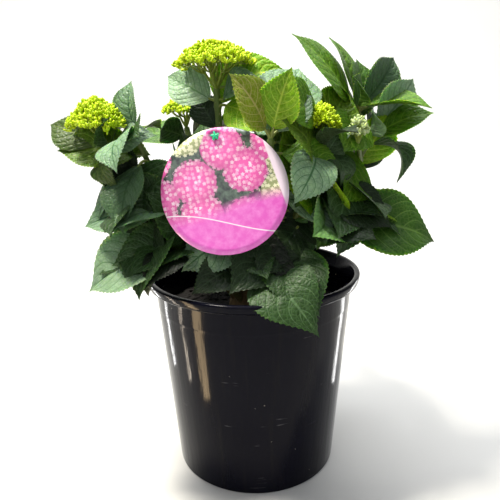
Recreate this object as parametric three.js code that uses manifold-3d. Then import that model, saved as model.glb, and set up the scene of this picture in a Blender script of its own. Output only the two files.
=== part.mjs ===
// A young hydrangea in its nursery pot: canes rising from a short woody foot in the potting mix,
// side boughs forking from them, a mass of foliage round the end of each, flat bloom heads in bud
// on the flowering canes, and a round plant tag tied to the middle one.
// Millimetres, +Z up, +Y to the back, origin at the centre of the pot's flat underside.
import * as THREE from 'three';
import { mergeVertices } from 'three/addons/utils/BufferGeometryUtils.js';
import Module from 'manifold-3d';

const wasm = await Module();
wasm.setup();

// Driving dimensions, in millimetres, with turns, climbs and leans in degrees
const POT_HEIGHT = 190;
const RIM_RADIUS = 100;
const RIM_BAND = 10;
const RIM_STEP = 8;
const POT_BASE_RADIUS = 77;
const POT_WALL = 2.2;
const POT_SIDES = 24;
const MIX_TOP = 157;
const MIX_CROWN = 4;
const FOOT_RADIUS = 27;
const FOOT_HEIGHT = 15;
const ROOT_RING = 19;
const CANE_FOOT_RADIUS = 4;
const CANE_TIP_RADIUS = 2.2;
const BOUGH_FOOT_RADIUS = 2.8;
const BOUGH_TIP_RADIUS = 1.8;
const CANE_BEND_SHARE = 0.45;
const CANE_BEND_RISE = 10;
const CANE_SHOULDER_OUT = 0.9;
const CANE_SHOULDER_UP = 0.8;
const FIRST_CANE_TURN = 160;
const BOUGH_BEND_RISE = 4;
const LIMB_SIDES = 6;
const LIMB_STEPS = 4;
const CORE_SWELL = 0.14;
const CORE_SIDES = 6;
const CORE_STEPS = 4;
const PAIR_TURN = 90;
const PAIR_CLIMB = 15;
const PAIR_SHRINK = 0.85;
const OUTWARD_GAIN = 0.18;
const LEAF_THICKNESS = 12;
const LEAF_SLENDER = 0.72;
const LEAF_WIDEST = 46;
const LEAF_LIFT = 12;
const DROOP_LIFT = 0.8;
const FACE_OUT = 0.7;
const LEAF_SIDES = 4;
const LEAF_STEPS = 3;
const BLOOM_SIDES = 7;
const TAG_RADIUS = 50;
const TAG_THICKNESS = 0.8;
const TAG_CENTRE = new THREE.Vector3(-21, -72, 276);
const TAG_LEAN = 16;
const TAG_TURN = 9;
const TAG_HOLE_RADIUS = 3;
const TAG_HOLE_UP = 43;
const TIE_RADIUS = 0.8;
const TIE_STEPS = 12;
const TIE_SHARE = 0.8;
const STAR_POINTS = 5;
const STAR_RADIUS = 5.5;
const STAR_DEPTH = 1.5;
const GAP = 0.3;
const LEAF_GAP = 0.9;

// The canes, in their order round the foot. Each rises to its own bearing from +X, its reach from
// the plant's middle and its height. The front ones stand round the tag, the back ones fill in.
const CANES = {
  cane_centre: { bearing: 200, reach: 30, height: 355 },
  cane_left: { bearing: 195, reach: 130, height: 320 },
  cane_low_left: { bearing: 210, reach: 80, height: 255 },
  cane_front: { bearing: 270, reach: 45, height: 210 },
  cane_centre_right: { bearing: 285, reach: 60, height: 315 },
  cane_right: { bearing: 325, reach: 70, height: 320 },
  cane_far_right: { bearing: 0, reach: 105, height: 310 },
  cane_back_right: { bearing: 40, reach: 90, height: 300 },
  cane_back: { bearing: 85, reach: 85, height: 320 },
  cane_back_left: { bearing: 135, reach: 90, height: 320 },
};
const CANE_NAMES = Object.keys(CANES);
const CANE_SPACING = 360 / CANE_NAMES.length;

// The side boughs. Each forks from a cane at a share of its length and grows out from there.
const BOUGHS = {
  bough_upper_left: { from: 'cane_left', share: 0.5, bearing: 215, rise: 70, reach: 80 },
  bough_front_left: { from: 'cane_low_left', share: 0.4, bearing: 230, rise: 30, reach: 35 },
  bough_top_right: { from: 'cane_far_right', share: 0.7, bearing: 0, rise: 80, reach: 70 },
  bough_low_right: { from: 'cane_right', share: 0.35, bearing: 350, rise: 30, reach: 45 },
  bough_bud: { from: 'cane_far_right', share: 0.85, bearing: 255, rise: 30, reach: 45 },
  bough_back_low_left: { from: 'cane_back_left', share: 0.35, bearing: 125, rise: 40, reach: 45 },
  bough_back_low_right: { from: 'cane_back_right', share: 0.35, bearing: 60, rise: 40, reach: 45 },
};

// The bloom heads: flat clusters of buds on rays that spread from the end of a limb.
const BLOOMS = {
  bloom_centre: { on: 'cane_centre', width: 70, height: 36 },
  bloom_left: { on: 'cane_left', width: 44, height: 29 },
  bloom_right: { on: 'cane_right', width: 28, height: 24 },
  bloom_small: { on: 'bough_bud', width: 18, height: 20 },
  bloom_back: { on: 'cane_back', width: 56, height: 28 },
  bloom_back_left: { on: 'cane_back_left', width: 48, height: 26 },
};

// The masses of foliage, each round its heart, at a share of a limb's length. Leaves stand in
// opposite pairs: the first pair has the bearing, rise and reach given, and each further pair is
// turned a quarter from the last, steeper and shorter.
const MASSES = {
  leaves_left: {
    on: 'cane_left', share: 0.85, core: 25,
    turn: 160, rise: 30, reach: 60, pairs: 2,
  },
  leaves_upper_left: {
    on: 'bough_upper_left', share: 1, core: 22,
    turn: 265, rise: -25, reach: 55, pairs: 1,
  },
  leaves_low_left: {
    on: 'cane_low_left', share: 1, core: 30,
    turn: 180, rise: -10, reach: 65, pairs: 1,
  },
  leaves_centre: {
    on: 'cane_centre', share: 0.9, core: 24,
    turn: 145, rise: 28, reach: 58, pairs: 2,
  },
  leaves_centre_right: {
    on: 'cane_centre_right', share: 1, core: 25,
    turn: 40, rise: 50, reach: 58, pairs: 2,
  },
  leaves_right: {
    on: 'cane_right', share: 0.85, core: 30,
    turn: 300, rise: 25, reach: 48, pairs: 2,
  },
  leaves_top_right: {
    on: 'bough_top_right', share: 1, core: 26,
    turn: 40, rise: 45, reach: 58, pairs: 1,
  },
  leaves_far_right: {
    on: 'cane_far_right', share: 1, core: 24,
    turn: 350, rise: 20, reach: 50, pairs: 2,
  },
  leaves_low_right: {
    on: 'bough_low_right', share: 1, core: 32,
    turn: 340, rise: 5, reach: 52, pairs: 2,
  },
  leaves_front: {
    on: 'cane_front', share: 1, core: 24,
    turn: 215, rise: -15, reach: 58, pairs: 2,
  },
  leaves_front_left: {
    on: 'bough_front_left', share: 1, core: 24,
    turn: 230, rise: -20, reach: 50, pairs: 1,
  },
  leaves_inner: {
    on: 'cane_centre', share: 0.5, core: 46,
    turn: 325, rise: 20, reach: 66, pairs: 1,
  },
  leaves_back_left: {
    on: 'cane_back_left', share: 0.9, core: 28,
    turn: 150, rise: 5, reach: 58, pairs: 2,
  },
  leaves_back: {
    on: 'cane_back', share: 0.9, core: 30,
    turn: 90, rise: 10, reach: 60, pairs: 2,
  },
  leaves_back_right: {
    on: 'cane_back_right', share: 1, core: 28,
    turn: 60, rise: 15, reach: 55, pairs: 2,
  },
  leaves_back_low_left: {
    on: 'bough_back_low_left', share: 1, core: 28,
    turn: 125, rise: -15, reach: 60, pairs: 2,
  },
  leaves_back_low_right: {
    on: 'bough_back_low_right', share: 1, core: 28,
    turn: 60, rise: -15, reach: 60, pairs: 2,
  },
};

// The leaves that stray out of their mass and make the crown's outline uneven.
const STRAYS = [
  { from: 'leaves_left', bearing: 225, rise: 55, reach: 60 },
  { from: 'leaves_upper_left', bearing: 100, rise: 75, reach: 45 },
  { from: 'leaves_low_left', bearing: 230, rise: -5, reach: 60 },
  { from: 'leaves_front_left', bearing: 185, rise: -20, reach: 95 },
  { from: 'leaves_centre', bearing: 40, rise: 45, reach: 65 },
  { from: 'leaves_centre_right', bearing: 65, rise: 40, reach: 85 },
  { from: 'leaves_right', bearing: 235, rise: -40, reach: 50 },
  { from: 'leaves_top_right', bearing: 195, rise: 45, reach: 90 },
  { from: 'leaves_top_right', bearing: 130, rise: 60, reach: 75 },
  { from: 'leaves_far_right', bearing: 15, rise: 50, reach: 65 },
  { from: 'leaves_far_right', bearing: 310, rise: -50, reach: 50 },
  { from: 'leaves_low_right', bearing: 5, rise: -15, reach: 100 },
  { from: 'leaves_low_right', bearing: 40, rise: -30, reach: 60 },
  { from: 'leaves_low_right', bearing: 250, rise: 0, reach: 70 },
  { from: 'leaves_front', bearing: 310, rise: -30, reach: 90 },
  { from: 'leaves_back', bearing: 85, rise: -35, reach: 70 },
];

const PLASTIC_BLACK = new THREE.MeshStandardMaterial({ color: 0x17161c, roughness: 0.25, metalness: 0 });
const BARK_MIX = new THREE.MeshStandardMaterial({ color: 0x2b221b, roughness: 0.95, metalness: 0 });
const OLD_WOOD = new THREE.MeshStandardMaterial({ color: 0x7a6248, roughness: 0.85, metalness: 0 });
const GREEN_STEM = new THREE.MeshStandardMaterial({ color: 0x7f9a4a, roughness: 0.6, metalness: 0 });
const FOLIAGE = new THREE.MeshStandardMaterial({ color: 0x4c7a34, roughness: 0.55, metalness: 0 });
const BUD_LIME = new THREE.MeshStandardMaterial({ color: 0xb4c94a, roughness: 0.6, metalness: 0 });
const TAG_CARD = new THREE.MeshStandardMaterial({ color: 0xc05aa8, roughness: 0.3, metalness: 0 });
const TIE_GREEN = new THREE.MeshStandardMaterial({ color: 0x1fbf8c, roughness: 0.4, metalness: 0 });

function solidOf(geometry) {
  const bare = geometry.clone();
  bare.deleteAttribute('normal');
  bare.deleteAttribute('uv');
  const merged = mergeVertices(bare, 1e-4);
  const vertProperties = Float32Array.from(merged.attributes.position.array);
  const triVerts = Uint32Array.from(merged.index.array);
  return new wasm.Manifold(new wasm.Mesh({ numProp: 3, vertProperties, triVerts }));
}

function geometryOf(solid) {
  const mesh = solid.getMesh();
  const geometry = new THREE.BufferGeometry();
  geometry.setAttribute('position', new THREE.BufferAttribute(mesh.vertProperties, 3));
  geometry.setIndex(new THREE.BufferAttribute(mesh.triVerts, 1));
  geometry.computeVertexNormals();
  return geometry;
}

// A cut can leave a solid in several bodies. The plant keeps the largest.
function cut(solid, tools) {
  const bodies = tools.reduce((rest, tool) => rest.subtract(tool), solid).decompose();
  return bodies.reduce((a, b) => (b.volume() > a.volume() ? b : a));
}

function direction(bearing, rise) {
  const turn = THREE.MathUtils.degToRad(bearing);
  const climb = THREE.MathUtils.degToRad(rise);
  return new THREE.Vector3(
    Math.cos(climb) * Math.cos(turn),
    Math.cos(climb) * Math.sin(turn),
    Math.sin(climb),
  );
}

// Lathe turns about +Y, so each turned piece is stood up to +Z.
function turned(profile, sides) {
  const points = profile.map(([radius, height]) => new THREE.Vector2(radius, height));
  return new THREE.LatheGeometry(points, sides).rotateX(Math.PI / 2);
}

// Pot: moulded shell with a flat underside, straight tapering wall and a stepped, rounded rim.
const SHOULDER_RADIUS = RIM_RADIUS - RIM_STEP;
const SHOULDER_HEIGHT = POT_HEIGHT - RIM_BAND - 3;

function wallRadius(height) {
  return THREE.MathUtils.mapLinear(height, 0, SHOULDER_HEIGHT, POT_BASE_RADIUS, SHOULDER_RADIUS);
}

function potProfile(grow) {
  const inside = POT_WALL + grow;
  return [
    [0, -grow], [POT_BASE_RADIUS - 2, -grow], [wallRadius(2) + grow, 2],
    [SHOULDER_RADIUS + grow, SHOULDER_HEIGHT], [RIM_RADIUS - 1 + grow, SHOULDER_HEIGHT + 3 - grow],
    [RIM_RADIUS + grow, POT_HEIGHT - 2], [RIM_RADIUS - 1.5, POT_HEIGHT + grow],
    [RIM_RADIUS - 4, POT_HEIGHT + grow], [RIM_RADIUS - 5.5 - grow, POT_HEIGHT - 2],
    [SHOULDER_RADIUS - inside, SHOULDER_HEIGHT], [wallRadius(inside + 2) - inside, inside + 2],
    [POT_BASE_RADIUS - inside - 2, inside], [0, inside],
  ];
}

// Potting mix: fills the pot to a low crown, clear of the wall by the gap.
function mixProfile() {
  const inside = POT_WALL + 2 * GAP;
  const edge = MIX_TOP - MIX_CROWN;
  return [
    [0, inside], [POT_BASE_RADIUS - inside - 3, inside], [wallRadius(inside + 3) - inside, inside + 3],
    [wallRadius(edge) - inside, edge], [wallRadius(edge) * 0.6, MIX_TOP - 1], [0, MIX_TOP],
  ];
}

// Foot: the short old stem that the canes rise from, flaring out to the mix.
function footProfile(grow) {
  const base = MIX_TOP + GAP - grow;
  const crown = MIX_TOP + FOOT_HEIGHT + grow;
  return [
    [0, base], [FOOT_RADIUS + grow, base], [FOOT_RADIUS - 5 + grow, base + FOOT_HEIGHT * 0.45 + grow],
    [FOOT_RADIUS - 9 + grow, crown], [0, crown + 2],
  ];
}

// Limb: a tapering round bar bent along a curve.
function limbGeometry(curve, footRadius, tipRadius, grow) {
  const bar = new THREE.CylinderGeometry(tipRadius + grow, footRadius + grow, 1, LIMB_SIDES, LIMB_STEPS);
  const frames = curve.computeFrenetFrames(LIMB_STEPS, false);
  const position = bar.attributes.position;
  for (let i = 0; i < position.count; i += 1) {
    const step = Math.round((position.getY(i) + 0.5) * LIMB_STEPS);
    const place = curve.getPointAt(step / LIMB_STEPS)
      .addScaledVector(frames.normals[step], position.getZ(i))
      .addScaledVector(frames.binormals[step], position.getX(i));
    position.setXYZ(i, place.x, place.y, place.z);
  }
  return bar;
}

function caneCurve(name) {
  const { bearing, reach, height } = CANES[name];
  const turn = FIRST_CANE_TURN + CANE_NAMES.indexOf(name) * CANE_SPACING;
  const root = direction(turn, 0).multiplyScalar(ROOT_RING);
  root.z = MIX_TOP + FOOT_HEIGHT * 0.5;
  const end = direction(bearing, 0).multiplyScalar(reach).setZ(height);
  const shoulder = root.clone().lerp(end, CANE_SHOULDER_OUT);
  shoulder.z = THREE.MathUtils.lerp(root.z, height, CANE_SHOULDER_UP);
  const bend = root.clone().lerp(shoulder, CANE_BEND_SHARE);
  bend.z += CANE_BEND_RISE;
  return new THREE.CatmullRomCurve3([root, bend, shoulder, end], false, 'centripetal');
}

function boughCurve(name) {
  const { from, share, bearing, rise, reach } = BOUGHS[name];
  const fork = caneCurve(from).getPointAt(share);
  const tip = fork.clone().addScaledVector(direction(bearing, rise), reach);
  const bend = fork.clone().lerp(tip, 0.5);
  bend.z += BOUGH_BEND_RISE;
  return new THREE.CatmullRomCurve3([fork, bend, tip], false, 'centripetal');
}

const limbCurve = (name) => (name in CANES ? caneCurve(name) : boughCurve(name));

// Bloom head: rays spreading from the cane's end to a low dome of buds.
function bloomGeometry({ on, width, height }, grow) {
  const base = limbCurve(on).getPoint(1);
  const half = width / 2;
  const profile = [
    [0, -grow], [3 + grow, -grow], [half * 0.55 + grow, height * 0.42], [half + grow, height * 0.62],
    [half * 0.92 + grow, height * 0.8], [half * 0.5, height * 0.97 + grow], [0, height + grow],
  ];
  return turned(profile, BLOOM_SIDES).translate(base.x, base.y, base.z + 1);
}

// One leaf of a mass: a flat spindle along an arc from the heart to the leaf's tip. The lower the
// leaf hangs, the higher it arches first, and its upper side turns up and out to the light.
function leafGeometry(heart, { bearing, rise, reach }, grow) {
  const along = direction(bearing, rise);
  const width = Math.min(LEAF_WIDEST, reach * LEAF_SLENDER);
  const end = heart.clone().addScaledVector(along, reach);
  const middle = heart.clone().lerp(end, 0.5);
  middle.z += LEAF_LIFT + DROOP_LIFT * Math.max(0, -along.z) * reach;
  const arc = new THREE.QuadraticBezierCurve3(heart, middle, end);
  const level = Math.hypot(along.x, along.y);
  const face = heart.clone().setZ(0).normalize().multiplyScalar(FACE_OUT * level * level).setZ(1);
  const side = face.cross(along).normalize();
  const blade = new THREE.SphereGeometry(1, LEAF_SIDES, LEAF_STEPS);
  const position = blade.attributes.position;
  for (let i = 0; i < position.count; i += 1) {
    const ahead = -position.getY(i);
    const t = (1 + ahead) / 2;
    const forward = arc.getTangent(t);
    const upward = new THREE.Vector3().crossVectors(forward, side).normalize();
    const place = arc.getPoint(t)
      .addScaledVector(forward, ahead * grow)
      .addScaledVector(side, position.getX(i) * (width / 2 + grow))
      .addScaledVector(upward, position.getZ(i) * (LEAF_THICKNESS / 2 + grow));
    position.setXYZ(i, place.x, place.y, place.z);
  }
  return blade;
}

// The leaves of a mass: its opposite pairs, longer where they grow outwards, and its strays.
function leavesOf(name, heart) {
  const { turn, rise, reach, pairs } = MASSES[name];
  const outward = THREE.MathUtils.radToDeg(Math.atan2(heart.y, heart.x));
  const leaves = [];
  for (let pair = 0; pair < pairs; pair += 1) {
    [0, 180].forEach((opposite) => {
      const bearing = turn + pair * PAIR_TURN + opposite;
      const gain = OUTWARD_GAIN * Math.cos(THREE.MathUtils.degToRad(bearing - outward));
      const grown = reach * PAIR_SHRINK ** pair * (1 + gain);
      leaves.push({ bearing, rise: rise + pair * PAIR_CLIMB, reach: grown });
    });
  }
  return [...leaves, ...STRAYS.filter((stray) => stray.from === name)];
}

// A mass of foliage: an uneven core round the heart with its largest leaves standing out of it.
function massSolid(name, grow) {
  const { on, share, core } = MASSES[name];
  const heart = limbCurve(on).getPointAt(share);
  const lump = new THREE.SphereGeometry(1, CORE_SIDES, CORE_STEPS);
  const position = lump.attributes.position;
  for (let i = 0; i < position.count; i += 1) {
    const ray = new THREE.Vector3().fromBufferAttribute(position, i);
    const swell = 1 + CORE_SWELL * Math.sin(5 * ray.x + heart.x) * Math.cos(4 * ray.y + heart.y);
    ray.multiplyScalar(core * swell + grow).add(heart);
    position.setXYZ(i, ray.x, ray.y, ray.z);
  }
  return leavesOf(name, heart).reduce(
    (mass, leaf) => mass.add(solidOf(leafGeometry(heart, leaf, grow))),
    solidOf(lump),
  );
}

// Tag: a round card with a hole near its top edge, leaning back against the foliage.
function placeOnTag(geometry) {
  return geometry
    .rotateX(Math.PI / 2)
    .rotateY(THREE.MathUtils.degToRad(-TAG_TURN))
    .rotateX(THREE.MathUtils.degToRad(-TAG_LEAN))
    .translate(TAG_CENTRE.x, TAG_CENTRE.y, TAG_CENTRE.z);
}

function tagGeometry(grow) {
  const disc = new THREE.Shape().absarc(0, 0, TAG_RADIUS + grow, 0, 2 * Math.PI, false);
  if (grow === 0) {
    disc.holes.push(new THREE.Path().absarc(0, TAG_HOLE_UP, TAG_HOLE_RADIUS, 0, 2 * Math.PI, true));
  }
  const depth = TAG_THICKNESS + 2 * grow;
  const card = new THREE.ExtrudeGeometry(disc, { depth, bevelEnabled: false, curveSegments: 9 });
  return placeOnTag(card.translate(0, 0, -depth / 2));
}

// Tie: a thin plastic strap that loops round the middle cane and comes out of the tag's hole,
// where a small star keeps it from slipping back.
function onTag(right, up, front) {
  const point = new THREE.BufferGeometry().setFromPoints([new THREE.Vector3(right, up, front)]);
  return new THREE.Vector3().fromBufferAttribute(placeOnTag(point).attributes.position, 0);
}

function tieGeometry() {
  const seat = TAG_HOLE_UP + TAG_HOLE_RADIUS - TIE_RADIUS - GAP;
  const cane = caneCurve('cane_centre').getPointAt(TIE_SHARE);
  const round = CANE_FOOT_RADIUS + TIE_RADIUS;
  const front = TAG_THICKNESS / 2 + GAP;
  const route = new THREE.CatmullRomCurve3([
    onTag(0, seat, front),
    onTag(0, seat, -4),
    cane.clone().add(new THREE.Vector3(round, -round, -1)),
    cane.clone().add(new THREE.Vector3(round, round * 0.4, 0)),
    cane.clone().add(new THREE.Vector3(0, round, 0.5)),
    cane.clone().add(new THREE.Vector3(-round, round * 0.4, 1)),
    cane.clone().add(new THREE.Vector3(-round, -round, 1)),
  ], false, 'centripetal');
  const section = new THREE.Shape().absarc(0, 0, TIE_RADIUS, 0, 2 * Math.PI, false);
  const shape = { steps: TIE_STEPS, extrudePath: route, curveSegments: 3, bevelEnabled: false };
  return new THREE.ExtrudeGeometry(section, shape);
}

function starGeometry() {
  const star = new THREE.Shape();
  for (let i = 0; i < 2 * STAR_POINTS; i += 1) {
    const radius = i % 2 === 0 ? STAR_RADIUS : STAR_RADIUS * 0.45;
    const angle = (i * Math.PI) / STAR_POINTS + Math.PI / 2;
    const [x, y] = [radius * Math.cos(angle), TAG_HOLE_UP + radius * Math.sin(angle)];
    if (i === 0) star.moveTo(x, y);
    else star.lineTo(x, y);
  }
  const disc = new THREE.ExtrudeGeometry(star, { depth: STAR_DEPTH, bevelEnabled: false });
  return placeOnTag(disc.translate(0, 0, TAG_THICKNESS / 2 + 2 * GAP));
}

const plant = new THREE.Group();

function add(name, solid, material) {
  const mesh = new THREE.Mesh(geometryOf(solid), material);
  mesh.name = name;
  plant.add(mesh);
}

add('pot', solidOf(turned(potProfile(0), POT_SIDES)), PLASTIC_BLACK);
add('potting_mix', solidOf(turned(mixProfile(), POT_SIDES)), BARK_MIX);
const foot = solidOf(turned(footProfile(0), LIMB_SIDES * 2));
const footRoom = solidOf(turned(footProfile(GAP), LIMB_SIDES * 2));
add('stem_foot', foot, OLD_WOOD);

// Limbs in order: each is cut clear of the foot and of every limb before it.
const limbs = [
  ...CANE_NAMES.map((name) => ({ name, foot: CANE_FOOT_RADIUS, tip: CANE_TIP_RADIUS })),
  ...Object.keys(BOUGHS).map((name) => ({ name, foot: BOUGH_FOOT_RADIUS, tip: BOUGH_TIP_RADIUS })),
];
const rooms = [footRoom];
limbs.forEach(({ name, foot: footRadius, tip }) => {
  const curve = limbCurve(name);
  const limb = cut(solidOf(limbGeometry(curve, footRadius, tip, 0)), rooms);
  rooms.push(solidOf(limbGeometry(curve, footRadius, tip, GAP)));
  add(name, limb, GREEN_STEM);
});

Object.entries(BLOOMS).forEach(([name, bloom]) => {
  add(name, cut(solidOf(bloomGeometry(bloom, 0)), rooms), BUD_LIME);
  rooms.push(solidOf(bloomGeometry(bloom, GAP)));
});

add('hang_tag', solidOf(tagGeometry(0)), TAG_CARD);
add('tag_star', solidOf(starGeometry()), TIE_GREEN);
add('tag_tie', cut(solidOf(tieGeometry()), rooms), TIE_GREEN);
rooms.push(solidOf(tagGeometry(LEAF_GAP)), solidOf(starGeometry()), solidOf(tieGeometry()));

// The masses keep clear of the pot, the limbs, the tag and each other.
rooms.push(solidOf(turned(potProfile(LEAF_GAP), POT_SIDES)), solidOf(turned(mixProfile(), POT_SIDES)));
Object.keys(MASSES).forEach((name) => {
  add(name, cut(massSolid(name, 0), rooms), FOLIAGE);
  rooms.push(massSolid(name, LEAF_GAP));
});

export default plant;
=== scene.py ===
# A young hydrangea in bud, in its black nursery pot, with a round plant tag tied to the middle
# cane. Sizes are in millimetres, and MM brings them to the frame's metres. The stage's own
# sizes and places are given in metres.
import math

import bpy
import numpy as np
from mathutils import Matrix, Vector
from mathutils.bvhtree import BVHTree
from mathutils.geometry import delaunay_2d_cdt


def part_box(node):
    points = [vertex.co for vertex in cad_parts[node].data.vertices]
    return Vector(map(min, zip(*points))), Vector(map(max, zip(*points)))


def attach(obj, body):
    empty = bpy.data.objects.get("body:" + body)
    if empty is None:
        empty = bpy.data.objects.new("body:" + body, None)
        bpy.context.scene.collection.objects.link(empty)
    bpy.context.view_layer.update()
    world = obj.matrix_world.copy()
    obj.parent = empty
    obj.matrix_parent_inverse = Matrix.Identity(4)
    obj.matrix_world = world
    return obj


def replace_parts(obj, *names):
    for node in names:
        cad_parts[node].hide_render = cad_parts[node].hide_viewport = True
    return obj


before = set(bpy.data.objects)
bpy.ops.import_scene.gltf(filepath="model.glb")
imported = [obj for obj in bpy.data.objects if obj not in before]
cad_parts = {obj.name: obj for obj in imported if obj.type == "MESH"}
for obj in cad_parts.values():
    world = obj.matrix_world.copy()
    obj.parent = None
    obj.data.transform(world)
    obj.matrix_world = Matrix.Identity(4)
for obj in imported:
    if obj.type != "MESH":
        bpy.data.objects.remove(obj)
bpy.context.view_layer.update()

# ---- Pot ----
# A 200 mm nursery pot, injection moulded in black polypropylene: one thin tapering wall with a
# flat base, a faint stacking step near the top and a turned-out rim with a soft lip.
MM = 0.001
POT_SIDES = 160
POT_WALL = 2.2
RIM_STEP = 8
RIM_BAND = 9
BASE_SHARE = 0.77
pot_low, pot_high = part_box("pot")
RIM_RADIUS = (pot_high[0] - pot_low[0]) / 2 / MM
POT_HEIGHT = pot_high[2] / MM
SHOULDER_RADIUS = RIM_RADIUS - RIM_STEP
SHOULDER_HEIGHT = POT_HEIGHT - 13
RIDGE_HEIGHT = POT_HEIGHT - 30


def linear(colour):
    """The linear value of an sRGB hex colour."""
    shares = [int(colour[i:i + 2], 16) / 255 for i in (1, 3, 5)]
    return [s / 12.92 if s <= 0.04045 else ((s + 0.055) / 1.055) ** 2.4 for s in shares] + [1.0]


def add_node(tree, kind, links=None, **settings):
    """A new node with its settings, each input linked from a socket or set to a value."""
    node = tree.nodes.new(kind)
    for name, value in settings.items():
        setattr(node, name, value)
    for place, value in (links or {}).items():
        if isinstance(value, bpy.types.NodeSocket):
            tree.links.new(value, node.inputs[place])
        else:
            node.inputs[place].default_value = value
    return node


def start_material(name, **sockets):
    """A material of one Principled shader, with its plain numbers on the shader's own sockets."""
    material = bpy.data.materials.new(name)
    material.use_nodes = True
    shader = material.node_tree.nodes["Principled BSDF"]
    for place, value in sockets.items():
        shader.inputs[place.replace("_", " ")].default_value = value
    return material, material.node_tree, shader


def new_piece(name, points, faces, *materials):
    """A smooth mesh object at the origin, from points in millimetres."""
    mesh = bpy.data.meshes.new(name)
    mesh.from_pydata((np.asarray(points) * MM).tolist(), [], faces)
    mesh.polygons.foreach_set("use_smooth", [True] * len(mesh.polygons))
    for material in materials:
        mesh.materials.append(material)
    piece = bpy.data.objects.new(name, mesh)
    bpy.context.scene.collection.objects.link(piece)
    return piece


def rounded(corners, steps=5):
    """A profile whose corners, given as radius, height and rounding, are turned into arcs."""
    profile = [corners[0][:2]]
    for before, corner, after in zip(corners, corners[1:], corners[2:]):
        point = Vector(corner[:2])
        back = (Vector(before[:2]) - point).normalized() * corner[2]
        ahead = (Vector(after[:2]) - point).normalized() * corner[2]
        for i in range(steps + 1):
            t = i / steps
            profile.append(tuple(point + back * (1 - t) ** 2 + ahead * t ** 2))
    return profile + [corners[-1][:2]]


def lathe(profile, sides, waver=0.0):
    """Points and faces of a profile spun about the upright axis, from pole to pole."""
    turn = np.arange(sides) * 2 * math.pi / sides
    rings = profile[1:-1]
    points = [(0, 0, profile[0][1])]
    for radius, height in rings:
        wave = waver * height / POT_HEIGHT * (np.sin(3 * turn) + 0.5 * np.sin(7 * turn + 1))
        ring = [(radius + wave) * np.cos(turn), (radius + wave) * np.sin(turn), np.full(sides, height)]
        points += np.transpose(ring).tolist()
    points.append((0, 0, profile[-1][1]))
    last = len(points) - 1
    faces = []
    for side in range(sides):
        beside = (side + 1) % sides
        faces.append((0, 1 + beside, 1 + side))
        for ring in range(len(rings) - 1):
            low = 1 + ring * sides
            high = low + sides
            faces.append((low + side, low + beside, high + beside, high + side))
        faces.append((last - sides + side, last - sides + beside, last))
    return points, faces


def wall_radius(height):
    """The outside radius of the pot's wall."""
    base = RIM_RADIUS * BASE_SHARE
    return base + (SHOULDER_RADIUS - base) * height / SHOULDER_HEIGHT


pot_profile = rounded([
    (0, 3, 0), (wall_radius(0) - 12, 3, 1), (wall_radius(0) - 14, 0, 1), (wall_radius(0), 0, 1.6),
    (wall_radius(RIDGE_HEIGHT), RIDGE_HEIGHT, 0.8), (wall_radius(RIDGE_HEIGHT) + 0.3, RIDGE_HEIGHT + 2, 0.8),
    (SHOULDER_RADIUS, POT_HEIGHT - RIM_BAND, 1.2), (RIM_RADIUS - 1.5, POT_HEIGHT - RIM_BAND + 1, 1.2),
    (RIM_RADIUS - 0.5, POT_HEIGHT - 5, 2), (RIM_RADIUS, POT_HEIGHT, 2.4), (RIM_RADIUS - 5, POT_HEIGHT, 2),
    (SHOULDER_RADIUS - POT_WALL, SHOULDER_HEIGHT, 2), (wall_radius(6) - POT_WALL - 1, 6, 2),
    (wall_radius(0) - 16, 5, 1), (0, 5, 0),
])
pot_profile = [pot_profile[0]] + [p for p in pot_profile[1:-1] if p[0] > 0.01] + [pot_profile[-1]]

# Moulded black polypropylene: near black with a hint of blue, glossy, with flow lines up the wall
# a few millimetres apart that draw every reflection out into streaks, dust and crumbs of dried
# mix, and grey level scuffs.
black_pot, tree, shader = start_material(
    "polypropylene, black, moulded", IOR=1.49, Roughness=0.12, Specular_IOR_Level=0.08,
)
place = add_node(tree, "ShaderNodeTexCoord").outputs["Object"]
upright = add_node(tree, "ShaderNodeMapping", {"Vector": place, "Scale": (1, 1, 0.05)})
flow = add_node(tree, "ShaderNodeTexNoise", {
    "Vector": upright.outputs[0], "Scale": 1 / (9 * MM), "Detail": 4, "Roughness": 0.6,
})
specks = add_node(tree, "ShaderNodeTexNoise", {
    "Vector": place, "Scale": 1 / (3 * MM), "Detail": 6, "Roughness": 0.75,
})
streak = add_node(tree, "ShaderNodeMapRange", {
    "Value": flow.outputs["Fac"], "From Min": 0.55, "From Max": 0.75, "To Min": 0.0, "To Max": 0.5,
})
grains = add_node(tree, "ShaderNodeMapRange", {
    "Value": specks.outputs["Fac"], "From Min": 0.6, "From Max": 0.72, "To Min": 0.0, "To Max": 0.35,
})
dust = add_node(tree, "ShaderNodeMath", {
    0: streak.outputs[0], 1: grains.outputs[0],
}, operation="MAXIMUM")
body = add_node(tree, "ShaderNodeMix", {
    "Factor": dust.outputs[0], 6: linear("#090914"), 7: linear("#1a1817"),
}, data_type="RGBA")
crumb_cells = add_node(tree, "ShaderNodeTexVoronoi", {"Vector": place, "Scale": 1 / (7 * MM)})
crumb_share = add_node(tree, "ShaderNodeSeparateColor", {"Color": crumb_cells.outputs["Color"]})
crumb_size = add_node(tree, "ShaderNodeMapRange", {
    "Value": crumb_share.outputs[0], "From Min": 0.6, "From Max": 1.0, "To Min": 0.0, "To Max": 0.075,
})
crumb = add_node(tree, "ShaderNodeMath", {
    0: crumb_cells.outputs["Distance"], 1: crumb_size.outputs[0],
}, operation="LESS_THAN")
dusted = add_node(tree, "ShaderNodeMix", {
    "Factor": crumb.outputs[0], 6: body.outputs[2], 7: linear("#8a8478"),
}, data_type="RGBA")
level = add_node(tree, "ShaderNodeMapping", {"Vector": place, "Scale": (0.05, 0.05, 1)})
scratches = add_node(tree, "ShaderNodeTexNoise", {
    "Vector": level.outputs[0], "Scale": 1 / (1.6 * MM), "Detail": 2, "Roughness": 0.5,
})
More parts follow.
